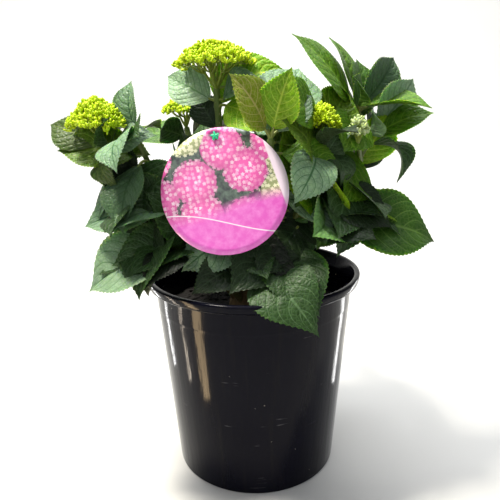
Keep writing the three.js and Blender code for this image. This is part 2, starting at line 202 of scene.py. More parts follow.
scuffed = add_node(tree, "ShaderNodeTexNoise", {"Vector": place, "Scale": 1 / (24 * MM), "Detail": 3})
scuff_sum = add_node(tree, "ShaderNodeMath", {
    0: scratches.outputs["Fac"], 1: scuffed.outputs["Fac"],
}, operation="ADD")
scuff = add_node(tree, "ShaderNodeMapRange", {
    "Value": scuff_sum.outputs[0], "From Min": 1.3, "From Max": 1.4, "To Min": 0.0, "To Max": 0.6,
})
scratched = add_node(tree, "ShaderNodeMix", {
    "Factor": scuff.outputs[0], 6: dusted.outputs[2], 7: linear("#5c5a5c"),
}, data_type="RGBA")
tree.links.new(scratched.outputs[2], shader.inputs["Base Color"])
relief = add_node(tree, "ShaderNodeBump", {
    "Strength": 0.6, "Distance": 0.5 * MM, "Height": flow.outputs["Fac"],
})
tree.links.new(relief.outputs[0], shader.inputs["Normal"])

pot = new_piece("pot_moulded", *lathe(pot_profile, POT_SIDES, waver=0.15), black_pot)
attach(pot, "root")
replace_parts(pot, "pot")

# ---- Potting mix ----
# Composted bark and peat filled to about 35 mm under the rim, watered down to a low uneven
# crown, with coarse chips lying loose on it.
MIX_SIDES = 96
MIX_RINGS = 26
CHIP_SIZE = (9, 5, 2.2)
CHIPS_EACH_CM2 = 2.6
mix_low, mix_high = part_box("potting_mix")
mix_edge = (mix_high[0] - mix_low[0]) / 2 / MM + 0.4
mix_top = mix_high[2] / MM


def waves(x, y, size, seed):
    """Gentle uneven ground between -1 and 1: a few seeded waves that cross each other."""
    rng = np.random.default_rng(seed)
    total = 0
    for share in (1, 0.6, 0.4, 0.25):
        angle = rng.uniform(0, math.pi, 3)
        phase = rng.uniform(0, 2 * math.pi, 3)
        for a, p in zip(angle, phase):
            step = (x * math.cos(a) + y * math.sin(a)) * 2 * math.pi / (size * share)
            total = total + share / 6 * np.sin(step + p)
    return total


def mix_surface():
    """The mix as a plug: an uneven top, a skirt down the wall and a flat underside."""
    turn = np.arange(MIX_SIDES) * 2 * math.pi / MIX_SIDES
    points = [(0, 0, mix_top - 1)]
    for ring in range(1, MIX_RINGS + 1):
        share = ring / MIX_RINGS
        x = mix_edge * share * np.cos(turn)
        y = mix_edge * share * np.sin(turn)
        height = mix_top - 1.5 - 3 * share ** 2 + 1.8 * waves(x, y, 22, 3)
        points += np.transpose([x, y, height]).tolist()
    for radius, height in ((mix_edge - 1, mix_top - 12), (wall_radius(8) - 6, 8)):
        ring = [radius * np.cos(turn), radius * np.sin(turn), np.full(MIX_SIDES, height)]
        points += np.transpose(ring).tolist()
    points.append((0, 0, 8))
    last = len(points) - 1
    faces = []
    for side in range(MIX_SIDES):
        beside = (side + 1) % MIX_SIDES
        faces.append((0, 1 + side, 1 + beside))
        for ring in range(MIX_RINGS + 1):
            inner = 1 + ring * MIX_SIDES
            outer = inner + MIX_SIDES
            faces.append((inner + side, outer + side, outer + beside, inner + beside))
        faces.append((last - MIX_SIDES + side, last, last - MIX_SIDES + beside))
    return points, faces


# Composted bark: dark crumbs of about 2 mm, browner in patches, dull and rough all through. Its near-black
# colour is partly the bark's own dark when wet and partly painted shade, for the pot's shadow under the
# crown.
bark_mix_with_painted_shade, tree, shader = start_material("bark, composted, damp_and_painted_shade", IOR=1.4, Roughness=0.9)
place = add_node(tree, "ShaderNodeTexCoord").outputs["Object"]
crumbs = add_node(tree, "ShaderNodeTexVoronoi", {"Vector": place, "Scale": 1 / (2.2 * MM)})
fibres = add_node(tree, "ShaderNodeTexNoise", {
    "Vector": place, "Scale": 1 / (5 * MM), "Detail": 8, "Roughness": 0.7,
})
brown = add_node(tree, "ShaderNodeMix", {
    "Factor": fibres.outputs["Fac"], 6: linear("#050404"), 7: linear("#110d0b"),
}, data_type="RGBA")
tree.links.new(brown.outputs[2], shader.inputs["Base Color"])
relief = add_node(tree, "ShaderNodeBump", {
    "Strength": 0.9, "Distance": 1.2 * MM, "Height": crumbs.outputs["Distance"],
})
tree.links.new(relief.outputs[0], shader.inputs["Normal"])


def set_inputs(modifier, **values):
    """Gives a Geometry Nodes modifier its named inputs, by each socket's identifier."""
    for item in modifier.node_group.interface.items_tree:
        key = item.name.replace(" ", "_").lower()
        if item.item_type == "SOCKET" and item.in_out == "INPUT" and key in values:
            modifier[item.identifier] = values[key]


def start_tree(name, **inputs):
    """A Geometry Nodes tree with a geometry input and output and the named inputs given."""
    tree = bpy.data.node_groups.new(name, "GeometryNodeTree")
    tree.interface.new_socket("Geometry", in_out="INPUT", socket_type="NodeSocketGeometry")
    for key, (kind, value) in inputs.items():
        socket = tree.interface.new_socket(key, in_out="INPUT", socket_type="NodeSocket" + kind)
        if value is not None:
            socket.default_value = value
    tree.interface.new_socket("Geometry", in_out="OUTPUT", socket_type="NodeSocketGeometry")
    return tree, tree.nodes.new("NodeGroupInput").outputs, tree.nodes.new("NodeGroupOutput")


def made_by(tree, source, name, **values):
    """A plain mesh object: what the tree makes of the source object, which is then thrown away."""
    modifier = source.modifiers.new("made", "NODES")
    modifier.node_group = tree
    set_inputs(modifier, **values)
    depsgraph = bpy.context.evaluated_depsgraph_get()
    mesh = bpy.data.meshes.new_from_object(source.evaluated_get(depsgraph))
    mesh.name = name
    source.modifiers.remove(modifier)
    bpy.data.objects.remove(source)
    piece = bpy.data.objects.new(name, mesh)
    bpy.context.scene.collection.objects.link(piece)
    return piece


chip_tree, given, result = start_tree(
    "chips strewn", Density=("Float", 100.0), Size=("Vector", (0.01, 0.01, 0.01)), Seed=("Int", 1),
    Material=("Material", None),
)
spots = add_node(chip_tree, "GeometryNodeDistributePointsOnFaces", {
    "Mesh": given["Geometry"], "Density": given["Density"], "Seed": given["Seed"],
})
chip = add_node(chip_tree, "GeometryNodeMeshIcoSphere", {"Radius": 0.5, "Subdivisions": 2})
flat = add_node(chip_tree, "GeometryNodeTransform", {
    "Geometry": chip.outputs["Mesh"], "Scale": given["Size"],
})
tumble = add_node(chip_tree, "FunctionNodeRandomValue", {
    0: (-0.5, -0.5, 0.0), 1: (0.5, 0.5, 6.28), "Seed": given["Seed"],
}, data_type="FLOAT_VECTOR")
range_of_size = add_node(chip_tree, "FunctionNodeRandomValue", {
    0: (0.4, 0.5, 0.6), 1: (1.3, 1.2, 1.6), "Seed": given["Seed"],
}, data_type="FLOAT_VECTOR")
strewn = add_node(chip_tree, "GeometryNodeInstanceOnPoints", {
    "Points": spots.outputs["Points"], "Instance": flat.outputs[0],
    "Rotation": tumble.outputs[0], "Scale": range_of_size.outputs[0],
})
real = add_node(chip_tree, "GeometryNodeRealizeInstances", {"Geometry": strewn.outputs[0]})
flat_sided = add_node(chip_tree, "GeometryNodeSetShadeSmooth", {
    "Geometry": real.outputs[0], "Shade Smooth": False,
})
finished = add_node(chip_tree, "GeometryNodeSetMaterial", {
    "Geometry": flat_sided.outputs[0], "Material": given["Material"],
})
chip_tree.links.new(finished.outputs[0], result.inputs["Geometry"])

mix_points, mix_faces = mix_surface()
mix = new_piece("potting_mix_filled", mix_points, mix_faces, bark_mix_with_painted_shade)
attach(mix, "root")
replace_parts(mix, "potting_mix")
top_faces = [f for f in mix_faces if max(math.hypot(*mix_points[i][:2]) for i in f) < mix_edge - 9]
top_faces = [f for f in top_faces if min(mix_points[i][2] for i in f) > mix_top - 8]
seed_bed = new_piece("seed_bed", mix_points, top_faces, bark_mix_with_painted_shade)
chips = made_by(
    chip_tree, seed_bed, "bark_chips", density=CHIPS_EACH_CM2 * 1e4,
    size=[side * MM for side in CHIP_SIZE], seed=5, material=bark_mix_with_painted_shade,
)
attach(chips, "root")

# ---- Foot and canes ----
# The plant's own frame: a short woody foot on the mix, and the canes and side boughs that rise
# from it. The wood is tan at the foot and green above, with swollen rings where leaves sat.
CANE_SIDES = 14
RING_SPACING = 27
LIMB_STEP = 1.6
BARK_RIB = 0.22
LEAST_RADIUS = {"cane": 2.9, "bough": 2.2}
canes = [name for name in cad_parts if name.startswith("cane_")]
boughs = [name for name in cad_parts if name.startswith("bough_")]


def unit(vector):
    """The same direction, at length one."""
    return np.asarray(vector, float) / np.linalg.norm(vector)


def centre_line(node, slices=9):
    """The middle of a limb and its radius, from level cuts through its solid, foot to tip."""
    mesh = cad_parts[node].data
    points = np.empty(len(mesh.vertices) * 3)
    mesh.vertices.foreach_get("co", points)
    points = points.reshape(-1, 3) / MM
    low, high = points[:, 2].min(), points[:, 2].max()
    ends = np.array([edge.vertices[:] for edge in mesh.edges])
    first, second = points[ends[:, 0]], points[ends[:, 1]]
    line = []
    for share in np.linspace(0.04, 0.96, slices):
        level = low + (high - low) * share
        crossing = (first[:, 2] - level) * (second[:, 2] - level) < 0
        a, b = first[crossing], second[crossing]
        met = a + (b - a) * ((level - a[:, 2]) / (b[:, 2] - a[:, 2]))[:, None]
        middle = (met.min(0) + met.max(0)) / 2
        line.append((*middle, np.linalg.norm(met - middle, axis=1).min()))
    ahead = unit(np.subtract(line[-1], line[-2])[:3])
    rise = high - line[-1][3] * math.hypot(*ahead[:2]) - line[-1][2]
    line.append((*(line[-1][:3] + ahead * rise / ahead[2]), line[-1][3]))
    return np.array(line)


def smooth_line(line, step):
    """A line of places and radii, drawn again as one smooth curve with evenly spaced points."""
    ends = [2 * line[0] - line[1], 2 * line[-1] - line[-2]]
    knots = np.vstack([ends[0], line, ends[1]])
    curve = []
    for a, b, c, d in zip(knots, knots[1:], knots[2:], knots[3:]):
        for t in np.arange(0, 1, 0.1):
            curve.append(
                b + 0.5 * t * (c - a + t * (2 * a - 5 * b + 4 * c - d + t * (3 * (b - c) + d - a)))
            )
    curve = np.array(curve + [knots[-2]])
    gone = np.concatenate([[0], np.cumsum(np.linalg.norm(np.diff(curve[:, :3], axis=0), axis=1))])
    marks = np.linspace(0, gone[-1], max(3, int(gone[-1] / step)))
    return np.transpose([np.interp(marks, gone, column) for column in curve.T])


def ringed_faces(last, sides):
    """Faces of a stack of rings whose points end before last, capped to the two points after."""
    faces = []
    for side in range(sides):
        beside = (side + 1) % sides
        faces.append((last, beside, side))
        for low in range(0, last - sides, sides):
            faces.append((low + side, low + beside, low + sides + beside, low + sides + side))
        faces.append((last - sides + side, last - sides + beside, last + 1))
    return faces


def limb_tube(line, sides, seed):
    """Points and faces of a limb: ribs along it, swollen leaf rings across it, a domed tip."""
    middle, radius = line[:, :3], line[:, 3]
    forward = np.gradient(middle, axis=0)
    forward /= np.linalg.norm(forward, axis=1)[:, None]
    across = np.cross(forward, (0.3, 1, 0.1))
    across /= np.linalg.norm(across, axis=1)[:, None]
    over = np.cross(forward, across)
    gone = np.concatenate([[0], np.cumsum(np.linalg.norm(np.diff(middle, axis=0), axis=1))])
    rng = np.random.default_rng(seed)
    phase = rng.uniform(0, 6.28, 3)
    points = []
    for i, place in enumerate(middle):
        turn = np.arange(sides) * 2 * math.pi / sides
        near_ring = math.exp(-(((gone[i] + seed) % RING_SPACING - RING_SPACING / 2) / 2.2) ** 2)
        ribs = BARK_RIB * (np.sin(5 * turn + phase[0] + gone[i] * 0.03) + 0.4 * rng.normal(size=sides))
        swell = near_ring * (0.55 + 0.5 * np.cos(2 * turn + phase[1] + gone[i] // RING_SPACING * 1.57))
        reach = radius[i] * (1 - 0.5 * (i == len(middle) - 1)) + ribs * 0.6 + swell
        ring = place + across[i] * (np.cos(turn) * reach)[:, None] + over[i] * (np.sin(turn) * reach)[:, None]
        points += ring.tolist()
    last = len(points)
    points += [middle[0].tolist(), (middle[-1] + forward[-1] * radius[-1] * 0.6).tolist()]
    return points, ringed_faces(last, sides)


def joined(parts):
    """Several sets of points and faces as one."""
    points, faces = [], []
    for more_points, more_faces in parts:
        faces += [tuple(index + len(points) for index in face) for face in more_faces]
        points += list(more_points)
    return points, faces


# Hydrangea cane: smooth green rind going tan in patches with age, flecked with pale raised pores
# 1 to 3 mm long, slightly glossy.
green_cane, tree, shader = start_material("cane rind, green, living", IOR=1.45, Roughness=0.5)
place = add_node(tree, "ShaderNodeTexCoord").outputs["Object"]
height = add_node(tree, "ShaderNodeSeparateXYZ", {"Vector": place})
patches = add_node(tree, "ShaderNodeTexNoise", {"Vector": place, "Scale": 1 / (14 * MM), "Detail": 3})
age = add_node(tree, "ShaderNodeMapRange", {
    "Value": height.outputs["Z"], "From Min": 180 * MM, "From Max": 270 * MM, "To Min": 1.0, "To Max": 0.0,
})
worn = add_node(tree, "ShaderNodeMath", {
    0: age.outputs[0], 1: patches.outputs["Fac"],
}, operation="MULTIPLY")
rind = add_node(tree, "ShaderNodeMix", {
    "Factor": worn.outputs[0], 6: linear("#56682a"), 7: linear("#8a6f4a"),
}, data_type="RGBA")
long_place = add_node(tree, "ShaderNodeMapping", {"Vector": place, "Scale": (1, 1, 0.35)})
pores = add_node(tree, "ShaderNodeTexVoronoi", {
    "Vector": long_place.outputs[0], "Scale": 1 / (1.8 * MM), "Randomness": 1.0,
})
pore = add_node(tree, "ShaderNodeMapRange", {
    "Value": pores.outputs["Distance"], "From Min": 0.12, "From Max": 0.26, "To Min": 0.7,
    "To Max": 0.0,
})
flecked = add_node(tree, "ShaderNodeMix", {
    "Factor": pore.outputs[0], 6: rind.outputs[2], 7: linear("#a89a6c"),
}, data_type="RGBA")
tree.links.new(flecked.outputs[2], shader.inputs["Base Color"])
relief = add_node(tree, "ShaderNodeBump", {
    "Strength": 0.5, "Distance": 0.3 * MM, "Height": pore.outputs[0],
})
tree.links.new(relief.outputs[0], shader.inputs["Normal"])

# Old wood: brown bark shredding in strips a few millimetres wide that run up the foot.
old_wood, tree, shader = start_material("hydrangea bark, old, shredding", IOR=1.45, Roughness=0.85)
place = add_node(tree, "ShaderNodeTexCoord").outputs["Object"]
long_place = add_node(tree, "ShaderNodeMapping", {"Vector": place, "Scale": (1, 1, 0.2)})
strips = add_node(tree, "ShaderNodeTexNoise", {
    "Vector": long_place.outputs[0], "Scale": 1 / (4 * MM), "Detail": 6, "Roughness": 0.7,
})
bark = add_node(tree, "ShaderNodeMix", {
    "Factor": strips.outputs["Fac"], 6: linear("#3a2a1c"), 7: linear("#a88a62"),
}, data_type="RGBA")
tree.links.new(bark.outputs[2], shader.inputs["Base Color"])
relief = add_node(tree, "ShaderNodeBump", {
    "Strength": 0.9, "Distance": 1 * MM, "Height": strips.outputs["Fac"],
})
tree.links.new(relief.outputs[0], shader.inputs["Normal"])

limb_lines = {}
for number, name in enumerate(canes + boughs):
    line = centre_line(name)
    root = line[0] - (line[1] - line[0]) * 0.6
    line[:, 3] = np.maximum(line[:, 3], LEAST_RADIUS[name.split("_")[0]])
    limb_lines[name] = smooth_line(np.vstack([root, line]), LIMB_STEP)
limb_parts = [limb_tube(line, CANE_SIDES, 7 * i) for i, line in enumerate(limb_lines.values())]
limbs = new_piece("canes_and_boughs", *joined(limb_parts), green_cane)
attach(limbs, "root")
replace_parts(limbs, *limb_lines)


def woody_foot():
    """The foot: a low crown that flares to the mix, with a knuckle under each cane."""
    low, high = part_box("stem_foot")
    radius = (high[0] - low[0]) / 2 / MM
    base, crown = low[2] / MM - 3, high[2] / MM
    sides, rings = 90, 24
    turn = np.arange(sides) * 2 * math.pi / sides
    knuckles = [math.atan2(limb_lines[name][0][1], limb_lines[name][0][0]) for name in canes]
    points = []
    for ring in range(rings):
        share = ring / (rings - 1)
        reach = radius * (1 - 0.34 * share ** 0.6) * math.cos(share * 0.45 * math.pi) ** 0.35
        bumps = sum(np.exp(-(np.angle(np.exp(1j * (turn - k))) / 0.18) ** 2) for k in knuckles)
        wrinkle = 0.5 * np.sin(23 * turn + 3 * share) + 0.3 * np.sin(41 * turn)
        out = reach * (0.92 + 0.1 * bumps * math.sin(share * math.pi) ** 0.5) + wrinkle
        height = np.full(sides, base + (crown - base) * share)
        points += np.transpose([out * np.cos(turn), out * np.sin(turn), height]).tolist()
    last = len(points)
    points += [(0, 0, base), (0, 0, crown)]
    return points, ringed_faces(last, sides)


foot = new_piece("woody_foot", *woody_foot(), old_wood)
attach(foot, "root")
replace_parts(foot, "stem_foot")

# ---- Leaves ----
# Hydrangea leaves sit in opposite pairs on short stalks. Each blade is egg-shaped and toothed,
# folded a little along its midrib and quilted between the side veins, mostly paler below.
BLADE_ROWS = 48
BLADE_COLS = 10
BLADE_THICKNESS = 0.5
FOLD_STEPS = 41
QUILT_RISE = 0.042
QUILT_WIDEST = 18
SIDE_VEINS = 7
VEIN_SWEEP = (1.3, 1.3)
TOOTH = 0.5
TOOTH_LEAN = 0.6
# Most tints are copies of one green with the light painted in: pale and the grey-green tints carry a painted
# sheen; lime, yellow, yellowlime, sunlit and olivelit are lighter and yellower with painted light coming
# through from behind; deep, shade and night are darker with painted shade.
LEAF_TINTS = {
    # tint: upper side, under side, veins above, veins below, share of light that comes through
    "lime": ("#6f9e10", "#86ae18", "#a8c040", "#b8cc50", 0.5),
    "yellow": ("#7c8c20", "#8c9448", "#b0a868", "#b8a870", 0.4),
    "yellowlime": ("#6c9412", "#7ca014", "#a0b840", "#a8c040", 0.5),
    "fresh": ("#446c0e", "#4c7410", "#6c9030", "#7c9c3c", 0.4),
    "mid": ("#385c1c", "#486c22", "#5c7c38", "#7a9850", 0.3),
    "deep": ("#2a441e", "#38502a", "#4a6440", "#5c7448", 0.2),
    "shade": ("#1e2e18", "#26341c", "#30422a", "#3a482c", 0.1),
    "night": ("#11180e", "#181e12", "#1e2a18", "#262e1c", 0.05),
    "sunlit": ("#446c0e", "#76a410", "#6c9030", "#8cb62c", 0.5),
    "painted_sheen": ("#7e9c7a", "#84a078", "#3c603e", "#4e7248", 0.25),
    "painted_sheen_fresh": ("#729c5c", "#7ca45c", "#4a7438", "#5c8844", 0.3),
    "painted_sheen_dark": ("#506c4c", "#5c7850", "#35522f", "#7c9870", 0.2),
    "pale": ("#8ca886", "#8ca880", "#54784e", "#6c8c60", 0.25),
    "olive": ("#3c5220", "#444c22", "#5c6c34", "#6c7238", 0.25),
    "olivelit": ("#48660e", "#4c620e", "#6c8830", "#6c842e", 0.4),
    "brown": ("#484e2c", "#585638", "#6c6848", "#7c7454", 0.2),
}


def leaf_finish(tint, upper, under, vein_above, vein_below, glow):
    """A living blade: slightly glossy, creased along its veins and blistered between them above,
    its veins raised below, with a share of the light coming through. Above, its colour is
    darkened beside the side veins as painted shade in the creases."""
    material, tree, shader = start_material(
        "leaf blade, living, " + tint, IOR=1.42, Roughness=0.45, Subsurface_Weight=glow,
        Subsurface_Radius=(0.5, 1.0, 0.12), Subsurface_Scale=1.2 * MM, Specular_IOR_Level=0.25,
    )
    place = add_node(tree, "ShaderNodeTexCoord").outputs["Object"]
    on_blade = add_node(tree, "ShaderNodeAttribute", attribute_name="blade")
    parts = add_node(tree, "ShaderNodeSeparateXYZ", {"Vector": on_blade.outputs["Vector"]})
    side = parts.outputs["Z"]
    out = add_node(tree, "ShaderNodeMath", {0: parts.outputs["X"]}, operation="ABSOLUTE")
    # Veins leave the midrib at a wide angle and bend forwards, so the sweep grows outwards.
    bent = add_node(tree, "ShaderNodeMath", {
        0: out.outputs[0], 1: -VEIN_SWEEP[1], 2: -VEIN_SWEEP[0],
    }, operation="MULTIPLY_ADD")
    swept = add_node(tree, "ShaderNodeMath", {
        0: out.outputs[0], 1: bent.outputs[0],
    }, operation="MULTIPLY")
    phase = add_node(tree, "ShaderNodeMath", {
        0: parts.outputs["Y"], 1: SIDE_VEINS, 2: swept.outputs[0],
    }, operation="MULTIPLY_ADD")
    from_vein = add_node(tree, "ShaderNodeMath", {
        0: phase.outputs[0], 1: 0.5,
    }, operation="PINGPONG")
    side_veins = add_node(tree, "ShaderNodeMapRange", {
        "Value": from_vein.outputs[0], "From Min": 0.02, "From Max": 0.075, "To Min": 0.9,
        "To Max": 0.0,
    })
    to_edge = add_node(tree, "ShaderNodeMapRange", {
        "Value": out.outputs[0], "From Min": 0.75, "From Max": 1.0, "To Min": 1.0, "To Max": 0.2,
    })
    faded = add_node(tree, "ShaderNodeMath", {
        0: side_veins.outputs[0], 1: to_edge.outputs[0],
    }, operation="MULTIPLY")
    midrib = add_node(tree, "ShaderNodeMapRange", {
        "Value": out.outputs[0], "From Min": 0.025, "From Max": 0.065, "To Min": 1.0, "To Max": 0.0,
    })
    veins = add_node(tree, "ShaderNodeMath", {
        0: midrib.outputs[0], 1: faded.outputs[0],
    }, operation="MAXIMUM")
    cells = add_node(tree, "ShaderNodeTexVoronoi", {
        "Vector": place, "Scale": 1 / (3.6 * MM),
    }, feature="DISTANCE_TO_EDGE")
    net = add_node(tree, "ShaderNodeMapRange", {
        "Value": cells.outputs["Distance"], "From Min": 0.02, "From Max": 0.11, "To Min": 0.36,
        "To Max": 0.0,
    })
    drawn = add_node(tree, "ShaderNodeMath", {
        0: veins.outputs[0], 1: net.outputs[0],
    }, operation="MAXIMUM")
    # Painted shade: the upper side is darkened beside each side vein, where its creases would lie in shade,
    # and this is taken together with the random mottle.
    crease_shade = add_node(tree, "ShaderNodeMapRange", {
        "Value": from_vein.outputs[0], "From Min": 0.0, "From Max": 0.26, "To Min": 0.5, "To Max": 0.0,
    })
    mottle = add_node(tree, "ShaderNodeTexNoise", {
        "Vector": place, "Scale": 1 / (7 * MM), "Detail": 5, "Roughness": 0.6,
    })
    uneven = add_node(tree, "ShaderNodeMapRange", {
        "Value": mottle.outputs["Fac"], "From Min": 0.35, "From Max": 0.65, "To Min": 0.0,
        "To Max": 0.6,
    })
    crease_shade_and_mottle = add_node(tree, "ShaderNodeMath", {
        0: crease_shade.outputs[0], 1: uneven.outputs[0],
    }, operation="MAXIMUM")
    darker = [channel * 0.62 for channel in linear(upper)[:3]] + [1.0]
    top = add_node(tree, "ShaderNodeMix", {
        "Factor": crease_shade_and_mottle.outputs[0], 6: linear(upper), 7: darker,
    }, data_type="RGBA")
    top_veined = add_node(tree, "ShaderNodeMix", {
        "Factor": drawn.outputs[0], 6: top.outputs[2], 7: linear(vein_above),
    }, data_type="RGBA")
    dimmer = [channel * 0.72 for channel in linear(under)[:3]] + [1.0]
    below = add_node(tree, "ShaderNodeMix", {
        "Factor": uneven.outputs[0], 6: linear(under), 7: dimmer,
    }, data_type="RGBA")
    below_veined = add_node(tree, "ShaderNodeMix", {
        "Factor": drawn.outputs[0], 6: below.outputs[2], 7: linear(vein_below),
    }, data_type="RGBA")
    both = add_node(tree, "ShaderNodeMix", {
        "Factor": side, 6: top_veined.outputs[2], 7: below_veined.outputs[2],
    }, data_type="RGBA")
    own = add_node(tree, "ShaderNodeAttribute", attribute_name="leaf_shade")
    varied = add_node(tree, "ShaderNodeHueSaturation", {
        "Color": both.outputs[2], "Value": own.outputs["Fac"],
    })
    tree.links.new(varied.outputs[0], shader.inputs["Base Color"])
    blister = add_node(tree, "ShaderNodeMapRange", {
        "Value": cells.outputs["Distance"], "From Min": 0.0, "From Max": 0.3, "To Min": 0.0,
        "To Max": 0.5,
    })
    swell = add_node(tree, "ShaderNodeMapRange", {
        "Value": from_vein.outputs[0], "From Min": 0.0, "From Max": 0.3, "To Min": 0.0, "To Max": 0.6,
    })
    raised = add_node(tree, "ShaderNodeMath", {
        0: blister.outputs[0], 1: swell.outputs[0],
    }, operation="ADD")
    up_or_down = add_node(tree, "ShaderNodeMath", {
        0: side, 1: -2.0, 2: 1.0,
    }, operation="MULTIPLY_ADD")
    height = add_node(tree, "ShaderNodeMath", {
        0: raised.outputs[0], 1: up_or_down.outputs[0],
    }, operation="MULTIPLY")
    relief = add_node(tree, "ShaderNodeBump", {
        "Strength": 0.7, "Distance": 0.7 * MM, "Height": height.outputs[0],
    })
    tree.links.new(relief.outputs[0], shader.inputs["Normal"])
    return material


leaf_materials = [leaf_finish(tint, *colours) for tint, colours in LEAF_TINTS.items()]
tint_numbers = {tint: number for number, tint in enumerate(LEAF_TINTS)}


def blade_layout():
    """The faces of one closed blade, each face corner's place across and along and its side, and
    the points of the margin."""
    wide = BLADE_COLS + 1
    inner = 2 + (BLADE_ROWS - 1) * wide

    def index(row, col, below):
        if row in (0, BLADE_ROWS):
            return 0 if row == 0 else 1
        if below and 0 < col < BLADE_COLS:
            return inner + (row - 1) * (wide - 2) + col - 1
        return 2 + (row - 1) * wide + col

    faces, corners = [], []
    for below in (False, True):
        for row in range(BLADE_ROWS):
            for col in range(BLADE_COLS):
                spots = [(row, col), (row, col + 1), (row + 1, col + 1), (row + 1, col)]
                if row == 0:
                    spots = [(0, col + 0.5), spots[2], spots[3]]
                if row == BLADE_ROWS - 1:
                    spots = [spots[0], spots[1], (BLADE_ROWS, col + 0.5)]
                if below:
                    spots.reverse()
                faces.append(tuple(index(r, c, below) for r, c in spots))
                corners += [(2 * c / BLADE_COLS - 1, r / BLADE_ROWS, float(below)) for r, c in spots]
    rim = [index(row, col, False) for row in range(BLADE_ROWS + 1) for col in (0, BLADE_COLS)]
    return faces, np.array(corners), sorted(set(rim))


BLADE_FACES, BLADE_CORNERS, BLADE_RIM = blade_layout()


def blade_points(foot, tip, width, face, shape):
    """The points of one blade from foot to tip, its upper side turned towards face.

    bend arches the midrib, fold and curl raise the two halves and their edges by those degrees,
    broad is how far along the blade it is widest, and ripple and phase wave the margin.
    """
    along = np.linspace(0, 1, BLADE_ROWS + 1)
    across = np.linspace(-1, 1, BLADE_COLS + 1)
    out = np.abs(across)
    length = np.linalg.norm(tip - foot)
    axis = (tip - foot) / length
    lift = unit(face - np.dot(face, axis) * axis)
    arch = 4 * shape["bend"] * length * along * (1 - along)
    spine = foot + np.outer(along, tip - foot) + np.outer(arch, lift)
    forward = np.gradient(spine, axis=0)
    forward /= np.linalg.norm(forward, axis=1)[:, None]
    side = np.cross(axis, lift)
    up = np.cross(side, forward)
    outline = np.sin(math.pi * along ** (math.log(0.5) / math.log(shape["broad"]))).clip(0)
    half = width / 2 * outline ** (0.9 + 0.5 * along ** 2)
    fine = np.linspace(0, 1, FOLD_STEPS)
    angle = np.radians(shape["fold"] + shape["curl"] * fine ** 1.5)
    run = np.concatenate([[0], np.cumsum(np.cos(angle[1:]) * np.diff(fine))])
    rise = np.concatenate([[0], np.cumsum(np.sin(angle[1:]) * np.diff(fine))])
    tooth = TOOTH * np.where(np.arange(BLADE_ROWS + 1) % 2, -1, 1) * np.minimum(1, half / 6)
    reach = half[:, None] * np.interp(out, fine, run) + np.outer(tooth, out > 0.99)
    high = half[:, None] * np.interp(out, fine, rise)
    veins = SIDE_VEINS * along[:, None] - out * (VEIN_SWEEP[0] + VEIN_SWEEP[1] * out)
    quilt = np.abs(np.sin(math.pi * veins)) ** 0.6 * np.minimum(1, out / 0.2) * (1 - out ** 3)
    plump = QUILT_RISE * np.minimum(half, QUILT_WIDEST)[:, None]
    swing = 2 * math.pi * (1.7 * along[:, None] + shape["phase"]) + 1.3 * np.sign(across)
    frill = shape["ripple"] * np.sin(swing)
    high = high + plump * quilt + frill * out ** 2.5 * np.minimum(1, half / 8)[:, None]
    toothed = np.outer(tooth * TOOTH_LEAN, out ** 8)
    sheet = (
        spine[:, None] + side * (reach * np.sign(across))[:, :, None]
        + up[:, None] * high[:, :, None] + forward[:, None] * toothed[:, :, None]
    )
    depth = BLADE_THICKNESS * (1 - out ** 8) + 0.9 * (out < 0.01) * (1 - 0.8 * along[:, None])
    below = sheet - up[:, None] * depth[:, :, None]
    return np.vstack([
        sheet[0, :1], sheet[-1, :1], sheet[1:-1].reshape(-1, 3), below[1:-1, 1:-1].reshape(-1, 3),
    ])


def spray_piece(name, leaves):
    """All the blades of one spray as one mesh, each with a place of its own on the bake's map."""
    rng = np.random.default_rng(len(leaves))
    points = np.vstack([leaf["points"] for leaf in leaves])
    count = len(leaves[0]["points"])
    faces = [tuple(i + n * count for i in face) for n in range(len(leaves)) for face in BLADE_FACES]
    piece = new_piece(name, points, faces, *leaf_materials)
    mesh = piece.data
    tints = np.repeat([tint_numbers[leaf["tint"]] for leaf in leaves], len(BLADE_FACES))
    mesh.polygons.foreach_set("material_index", tints.astype(np.int32))
    blade = mesh.attributes.new("blade", "FLOAT_VECTOR", "CORNER")
    blade.data.foreach_set("vector", np.tile(BLADE_CORNERS, (len(leaves), 1)).ravel())
    shades = np.repeat(rng.uniform(0.86, 1.14, len(leaves)), len(BLADE_FACES))
    shade = mesh.attributes.new("leaf_shade", "FLOAT", "FACE")
    shade.data.foreach_set("value", shades)
    cells = math.ceil(math.sqrt(2 * len(leaves)))
    cell = np.arange(len(leaves))[:, None] * 2 + BLADE_CORNERS[:, 2].astype(int)
    u = (cell % cells + 0.5 + 0.44 * BLADE_CORNERS[:, 0]) / cells
    v = (cell // cells + 0.06 + 0.88 * BLADE_CORNERS[:, 1]) / cells
    uv = mesh.uv_layers.new(name="OFBake")
    uv.uv.foreach_set("vector", np.stack([u, v], axis=-1).astype(np.float32).ravel())
    rim = np.zeros(len(points), bool)
    rim[(np.arange(len(leaves))[:, None] * count + BLADE_RIM).ravel()] = True
    ends = np.empty(len(mesh.edges) * 2, np.int32)
    mesh.edges.foreach_get("vertices", ends)
    sharp = mesh.attributes.new("sharp_edge", "BOOLEAN", "EDGE")
    sharp.data.foreach_set("value", rim[ends.reshape(-1, 2)].all(axis=1))
    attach(piece, "root")
    return piece


def surface_of(nodes):
    """One tree of all the faces of these CAD nodes, to test places against."""
    points, faces = [], []
    for node in nodes:
        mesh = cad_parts[node].data
        faces += [[i + len(points) for i in face.vertices] for face in mesh.polygons]
        points += [vertex.co / MM for vertex in mesh.vertices]
    return BVHTree.FromPolygons(points, faces)


